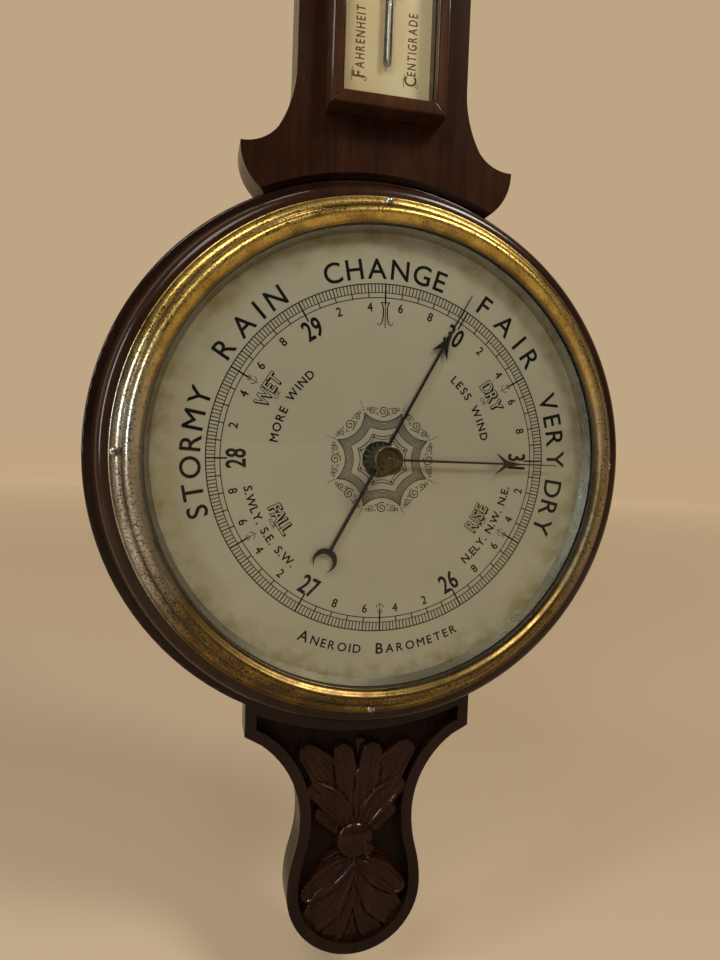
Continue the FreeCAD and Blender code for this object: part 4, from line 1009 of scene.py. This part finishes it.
def head_carving():
    floor = HEAD_GROUND
    relief("head_ground_stipple", stippled(floor, 11), (-46, 46, 500, 588), 0.45, floor - 0.3, "mahogany",
           GROUND, keep=ground_mask("head_board", floor))
    head = both_sides(
        ((2, 514), (12, 508), (27, 512.5), [2.4, 4.6, 3.0], [16.4, 17.6, 16.4], 0.4, 0.4, 1),
        ((2, 516), (8, 528), (20, 524.5), [2.2, 5.0, 2.8], [16.6, 18.2, 16.8], 0.5, 0.5, 1),
        ((1.5, 520), (3, 540), (15.5, 546), [2.2, 4.8, 4.0], [17.0, 18.8, 17.2], 0.5, 0.4, 1),
        ((1, 528), (2, 552), (12.5, 562), [2.0, 4.8, 4.2], [17.4, 19.0, 17.4], 0.5, 0.4, 1),
    )
    head.append(Petal((0, 508), (0, 545), (0, 574), [3.6, 3.4, 4.6], [18.6, 19.4, 17.2], 0.4, 0.2, 1))
    relief("head_spray", leaf_field(head, floor), (-33, 33, 504, 581), 0.35, floor - 1.5, "mahogany",
           CARVED, ["head_leaf"])


# ---------------------------------------------------------------- round wood, brass and glass

def dial_ring():
    """The turned wooden ring, with a small bead at its foot."""
    low, high = front("case_board"), front("dial_ring")
    seat = high - 1.2
    foot = half_width("case_board") - 3.8
    profile = [(98.5, low), (foot, low), (foot + 0.02, low + 0.5)]
    profile += [(foot - 0.5 * share, low + 0.5 + 1.2 * share) for share in (0.5, 1.0)]
    profile += [(124.4, seat - 4.2)]
    profile += arc((120.2, seat - 4.3), 4.25, 6, 84, 10)
    profile += [(120.2, seat), (105.4, seat), (105.4, high), (98.5, high)]
    piece("dial_ring_finish", lathe("dial_ring_finish", profile), "mahogany", TURNED,
          replaces=["dial_ring"])


def bezel():
    """The brass bezel: a flat foot, a hollow cove with a fine step, and a full bead."""
    foot, crest = 35.1, front("bezel")
    outer, wall, lip = half_width("bezel"), 107.2, 104.0
    profile = [(wall, foot), (outer, foot), (outer, 35.8)] + arc((outer - 0.6, 35.8), 0.6, 0, 90, 4)
    profile += [(outer - 1.5, 36.45), (outer - 1.6, 36.8)]
    profile += [(outer - 1.9 - 4.6 * math.sin(turn), 43.2 - 6.4 * math.cos(turn))
                for turn in np.linspace(0.05, 1, 12) * math.pi / 2]
    profile += [(111.95, 43.6)] + arc((108.6, 44.6), 3.4, -8, 137, 22)
    profile += [(lip + 1.6, 46.5), (lip + 0.8, 46.0), (lip + 0.2, 45.9), (lip, 45.75), (lip, 45.3),
                (wall, 45.3)]
    profile = [(radius, min(high, crest)) for radius, high in profile]
    piece("bezel_finish", lathe("bezel_finish", profile, 512, 28), "lacquered_brass",
          replaces=["bezel"])


def bezel_screws():
    """Round slotted heads on the bezel's flange, each slot at its own angle."""
    for index, (x, z, lean) in enumerate(((0, 1, 12), (1, 0, 80), (0, -1, 35), (-1, 0, 100))):
        x, z, lean = 116.2 * x, 116.2 * z, math.radians(lean)

        def dome(gx, gz):
            away = np.hypot(gx - x, gz - z)
            high = 37.3 + 1.5 * np.sqrt(np.clip(1 - (away / 2.0) ** 2, 0, 1))
            across = np.abs((gx - x) * math.cos(lean) + (gz - z) * math.sin(lean))
            return high - 0.9 * (1 - span01(across, 0.22, 0.36)), 1.9 - away - 0.7
        relief(f"bezel_screw_head_{index + 1}", dome, (x - 2.1, x + 2.1, z - 2.1, z + 2.1), 0.1, 36.2,
               "bright_steel", STEEL, ["bezel_screws"] if index == 0 else ())


def glazing():
    back, face = 42.6, front("dial_glass")
    edge = half_width("dial_glass")
    bush = 2.55
    profile = [(bush, back), (edge, back), (edge, 44.2), (104.6, face), (bush, face)]
    piece("dial_glass_pane", lathe("dial_glass_pane", profile, 256, 8), "clear_glass",
          replaces=["dial_glass"])


def hand_heads():
    """The filled swallow-tail head of each hand, laid over the slim one of the CAD."""
    for hand, body, paint, angle, barb, shoulder, wide in (
            ("indicating_hand", "hand_train", BLUED, 27.9, 55.1, 66.5, 4.3),
            ("set_hand", "set_hand_train", SET_HAND, 90.3, 55.6, 65.6, 4.9)):
        low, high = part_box(hand)
        back, face = -high.y / MM - 0.02, -low.y / MM + 0.02
        side = [(0.35, shoulder), (0.8, shoulder - 2.6), (wide * 0.45, shoulder - 5.6), (wide, barb),
                (wide * 0.42, barb + 2.4), (0.5, barb + 3.8)]
        outline = turned_points(side + [(-u, v) for u, v in side[::-1]], angle)

        def maker(bm):
            top, foot = ([bm.verts.new(spot(u, level, v)) for u, v in outline] for level in (face, back))
            for a, b, c in tessellate_polygon([[Vector((u, v, 0)) for u, v in outline]]):
                bm.faces.new([top[a], top[b], top[c]])
                bm.faces.new([foot[c], foot[b], foot[a]])
            for index in range(len(top)):
                bm.faces.new([top[index - 1], foot[index - 1], foot[index], top[index]])
        piece(hand + "_head", built(hand + "_head", maker), SLOT_OF[hand], paint, body)
        frame["nodes"][hand].data.materials[0] = paint     # the CAD hand matches its new head


def sight_ring():
    low = DIAL_FRONT
    profile = [(101.7, low), (105.2, low), (105.2, low + 0.7), (102.7, low + 0.7), (103.2, low + 2.4),
               (104.6, 42.5), (103.8, 42.5), (102.4, low + 2.2)]
    piece("sight_ring_finish", lathe("sight_ring_finish", profile, 256), "silvered_brass", SIGHT,
          replaces=["sight_ring"])


def knob():
    """The turned knob, with rings on its face and a milled edge."""
    low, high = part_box("set_hand_knob")
    top, radius, spindle = -low.y / MM, 6.5, 1.5
    profile = [(0, -high.y / MM), (spindle, -high.y / MM), (spindle, top - 7.2), (5.3, top - 7.2)]
    profile += arc((5.3, top - 6.0), 1.2, -90, 0, 5)
    profile += [(6.1, top - 4.6), (6.1, top - 3.2), (radius, top - 2.8), (radius, top - 1.1)]
    profile += arc((5.9, top - 0.6), 0.6, 0, 90, 6)
    profile += [(5.3, top), (5.0, top - 0.7), (4.8, top - 0.95), (3.9, top - 0.9), (3.8, top - 1.0),
                (2.6, top - 0.95), (2.5, top - 1.05), (1.4, top - 1.0), (1.2, top - 0.7), (0.8, top - 0.55),
                (0.5, top - 0.6), (0.4, top - 0.85), (0, top - 0.9)]
    piece("set_hand_knob_finish", lathe("set_hand_knob_finish", profile, 128, 25), "dark_brass", DARK_BRASS,
          "set_hand_train", ["set_hand_knob"])


# ---------------------------------------------------------------- stage, lights and camera

def stage():
    floor_z = cad_box[0].z - 0.03
    mesh = built("floor", lambda bm: bmesh.ops.create_circle(bm, cap_ends=True, segments=96, radius=60))
    floor = bpy.data.objects.new("floor", mesh)
    floor.location = (0, 0, floor_z)
    mesh.materials.append(pale_floor())
    bpy.context.scene.collection.objects.link(floor)


def world():
    """A pale warm room: bright beyond the wall side, dimmer on the side the barometer faces."""
    scene = bpy.context.scene
    scene.world = bpy.data.worlds.new("studio")
    scene.world.use_nodes = True
    nodes, links = scene.world.node_tree.nodes, scene.world.node_tree.links
    seat = nodes.new("ShaderNodeTexCoord")
    axes = nodes.new("ShaderNodeSeparateXYZ")
    share = nodes.new("ShaderNodeMapRange")
    share.inputs["From Min"].default_value, share.inputs["From Max"].default_value = -0.45, 0.4
    blend = nodes.new("ShaderNodeMix")
    blend.data_type = "RGBA"
    blend.inputs[6].default_value = (0.095, 0.084, 0.068, 1)
    blend.inputs[7].default_value = (0.515, 0.38, 0.235, 1)
    links.new(seat.outputs["Generated"], axes.inputs[0])
    links.new(axes.outputs["Y"], share.inputs["Value"])
    links.new(share.outputs["Result"], blend.inputs[0])
    links.new(blend.outputs[2], nodes["Background"].inputs["Color"])
    scene.view_settings.view_transform = "Standard"


def area_light(name, place, aim, size, power, color):
    lamp = bpy.data.lights.new(name, "AREA")
    lamp.shape, lamp.size, lamp.size_y = "RECTANGLE", *size
    lamp.energy, lamp.color = power, color
    thing = bpy.data.objects.new(name, lamp)
    thing.location = place
    thing.rotation_euler = (Vector(aim) - Vector(place)).to_track_quat("-Z", "Y").to_euler()
    bpy.context.scene.collection.objects.link(thing)


def lights():
    area_light("key", (0.8, -1.15, 1.25), (0, 0, 0.0), (0.4, 0.4), 20, (1.0, 0.9, 0.76))
    area_light("fill", (-0.42, -0.75, 0.8), (-0.02, 0, 0.0), (0.4, 0.4), 5, (1.0, 0.93, 0.8))
    area_light("window", (-1.2, -0.6, 0.3), (-0.1, 0, 0), (0.2, 0.7), 9, (0.8, 0.9, 1.0))
    sun = bpy.data.lights.new("floor_wash", "SUN")
    sun.energy, sun.angle, sun.color = 0.95, math.radians(25), (1.0, 0.82, 0.6)
    wash = bpy.data.objects.new("floor_wash", sun)
    wash.rotation_euler = (math.radians(-20), 0, 0)
    bpy.context.scene.collection.objects.link(wash)


def camera():
    lens = bpy.data.cameras.new("camera")
    lens.lens, lens.sensor_width = 27.0, 36.0
    lens.clip_start = 0.01
    lens.shift_x = 0.0006
    eye = bpy.data.objects.new("camera", lens)
    eye.location = (-0.0845, -0.3563, 0.0072)
    yaw, pitch, roll = -13.25, -2.95, 2.03
    look = Quaternion((0, 0, 1), math.radians(yaw)) @ Quaternion((1, 0, 0), math.radians(90 + pitch))
    eye.rotation_mode = "QUATERNION"
    eye.rotation_quaternion = look @ Quaternion((0, 0, 1), math.radians(roll))
    bpy.context.scene.collection.objects.link(eye)
    bpy.context.scene.camera = eye


# ---------------------------------------------------------------- the whole scene

camera()
world()
lights()
stage()
for node, thing in frame["nodes"].items():
    thing.data.materials.clear()
    thing.data.materials.append(SLOT_PAINT[SLOT_OF[node]])
eased("case_board", 0.6, SHADED_BOARD)
for node in ("neck_board", "head_board"):
    eased(node, 0.6)
for node in ("box_rail_left", "box_rail_right", "box_rail_bottom", "box_rail_top"):
    eased(node, 1.6, RAIL, steps=5)
dial_ring()
bezel()
bezel_screws()
glazing()
hand_heads()
sight_ring()
knob()
dial_scale()
dial_figures()
weather_words()
forecast_words()
centre_ornament()
dust_shield()
half_inch_marks()
thermometer_print()
drop_carvings()
head_carving()
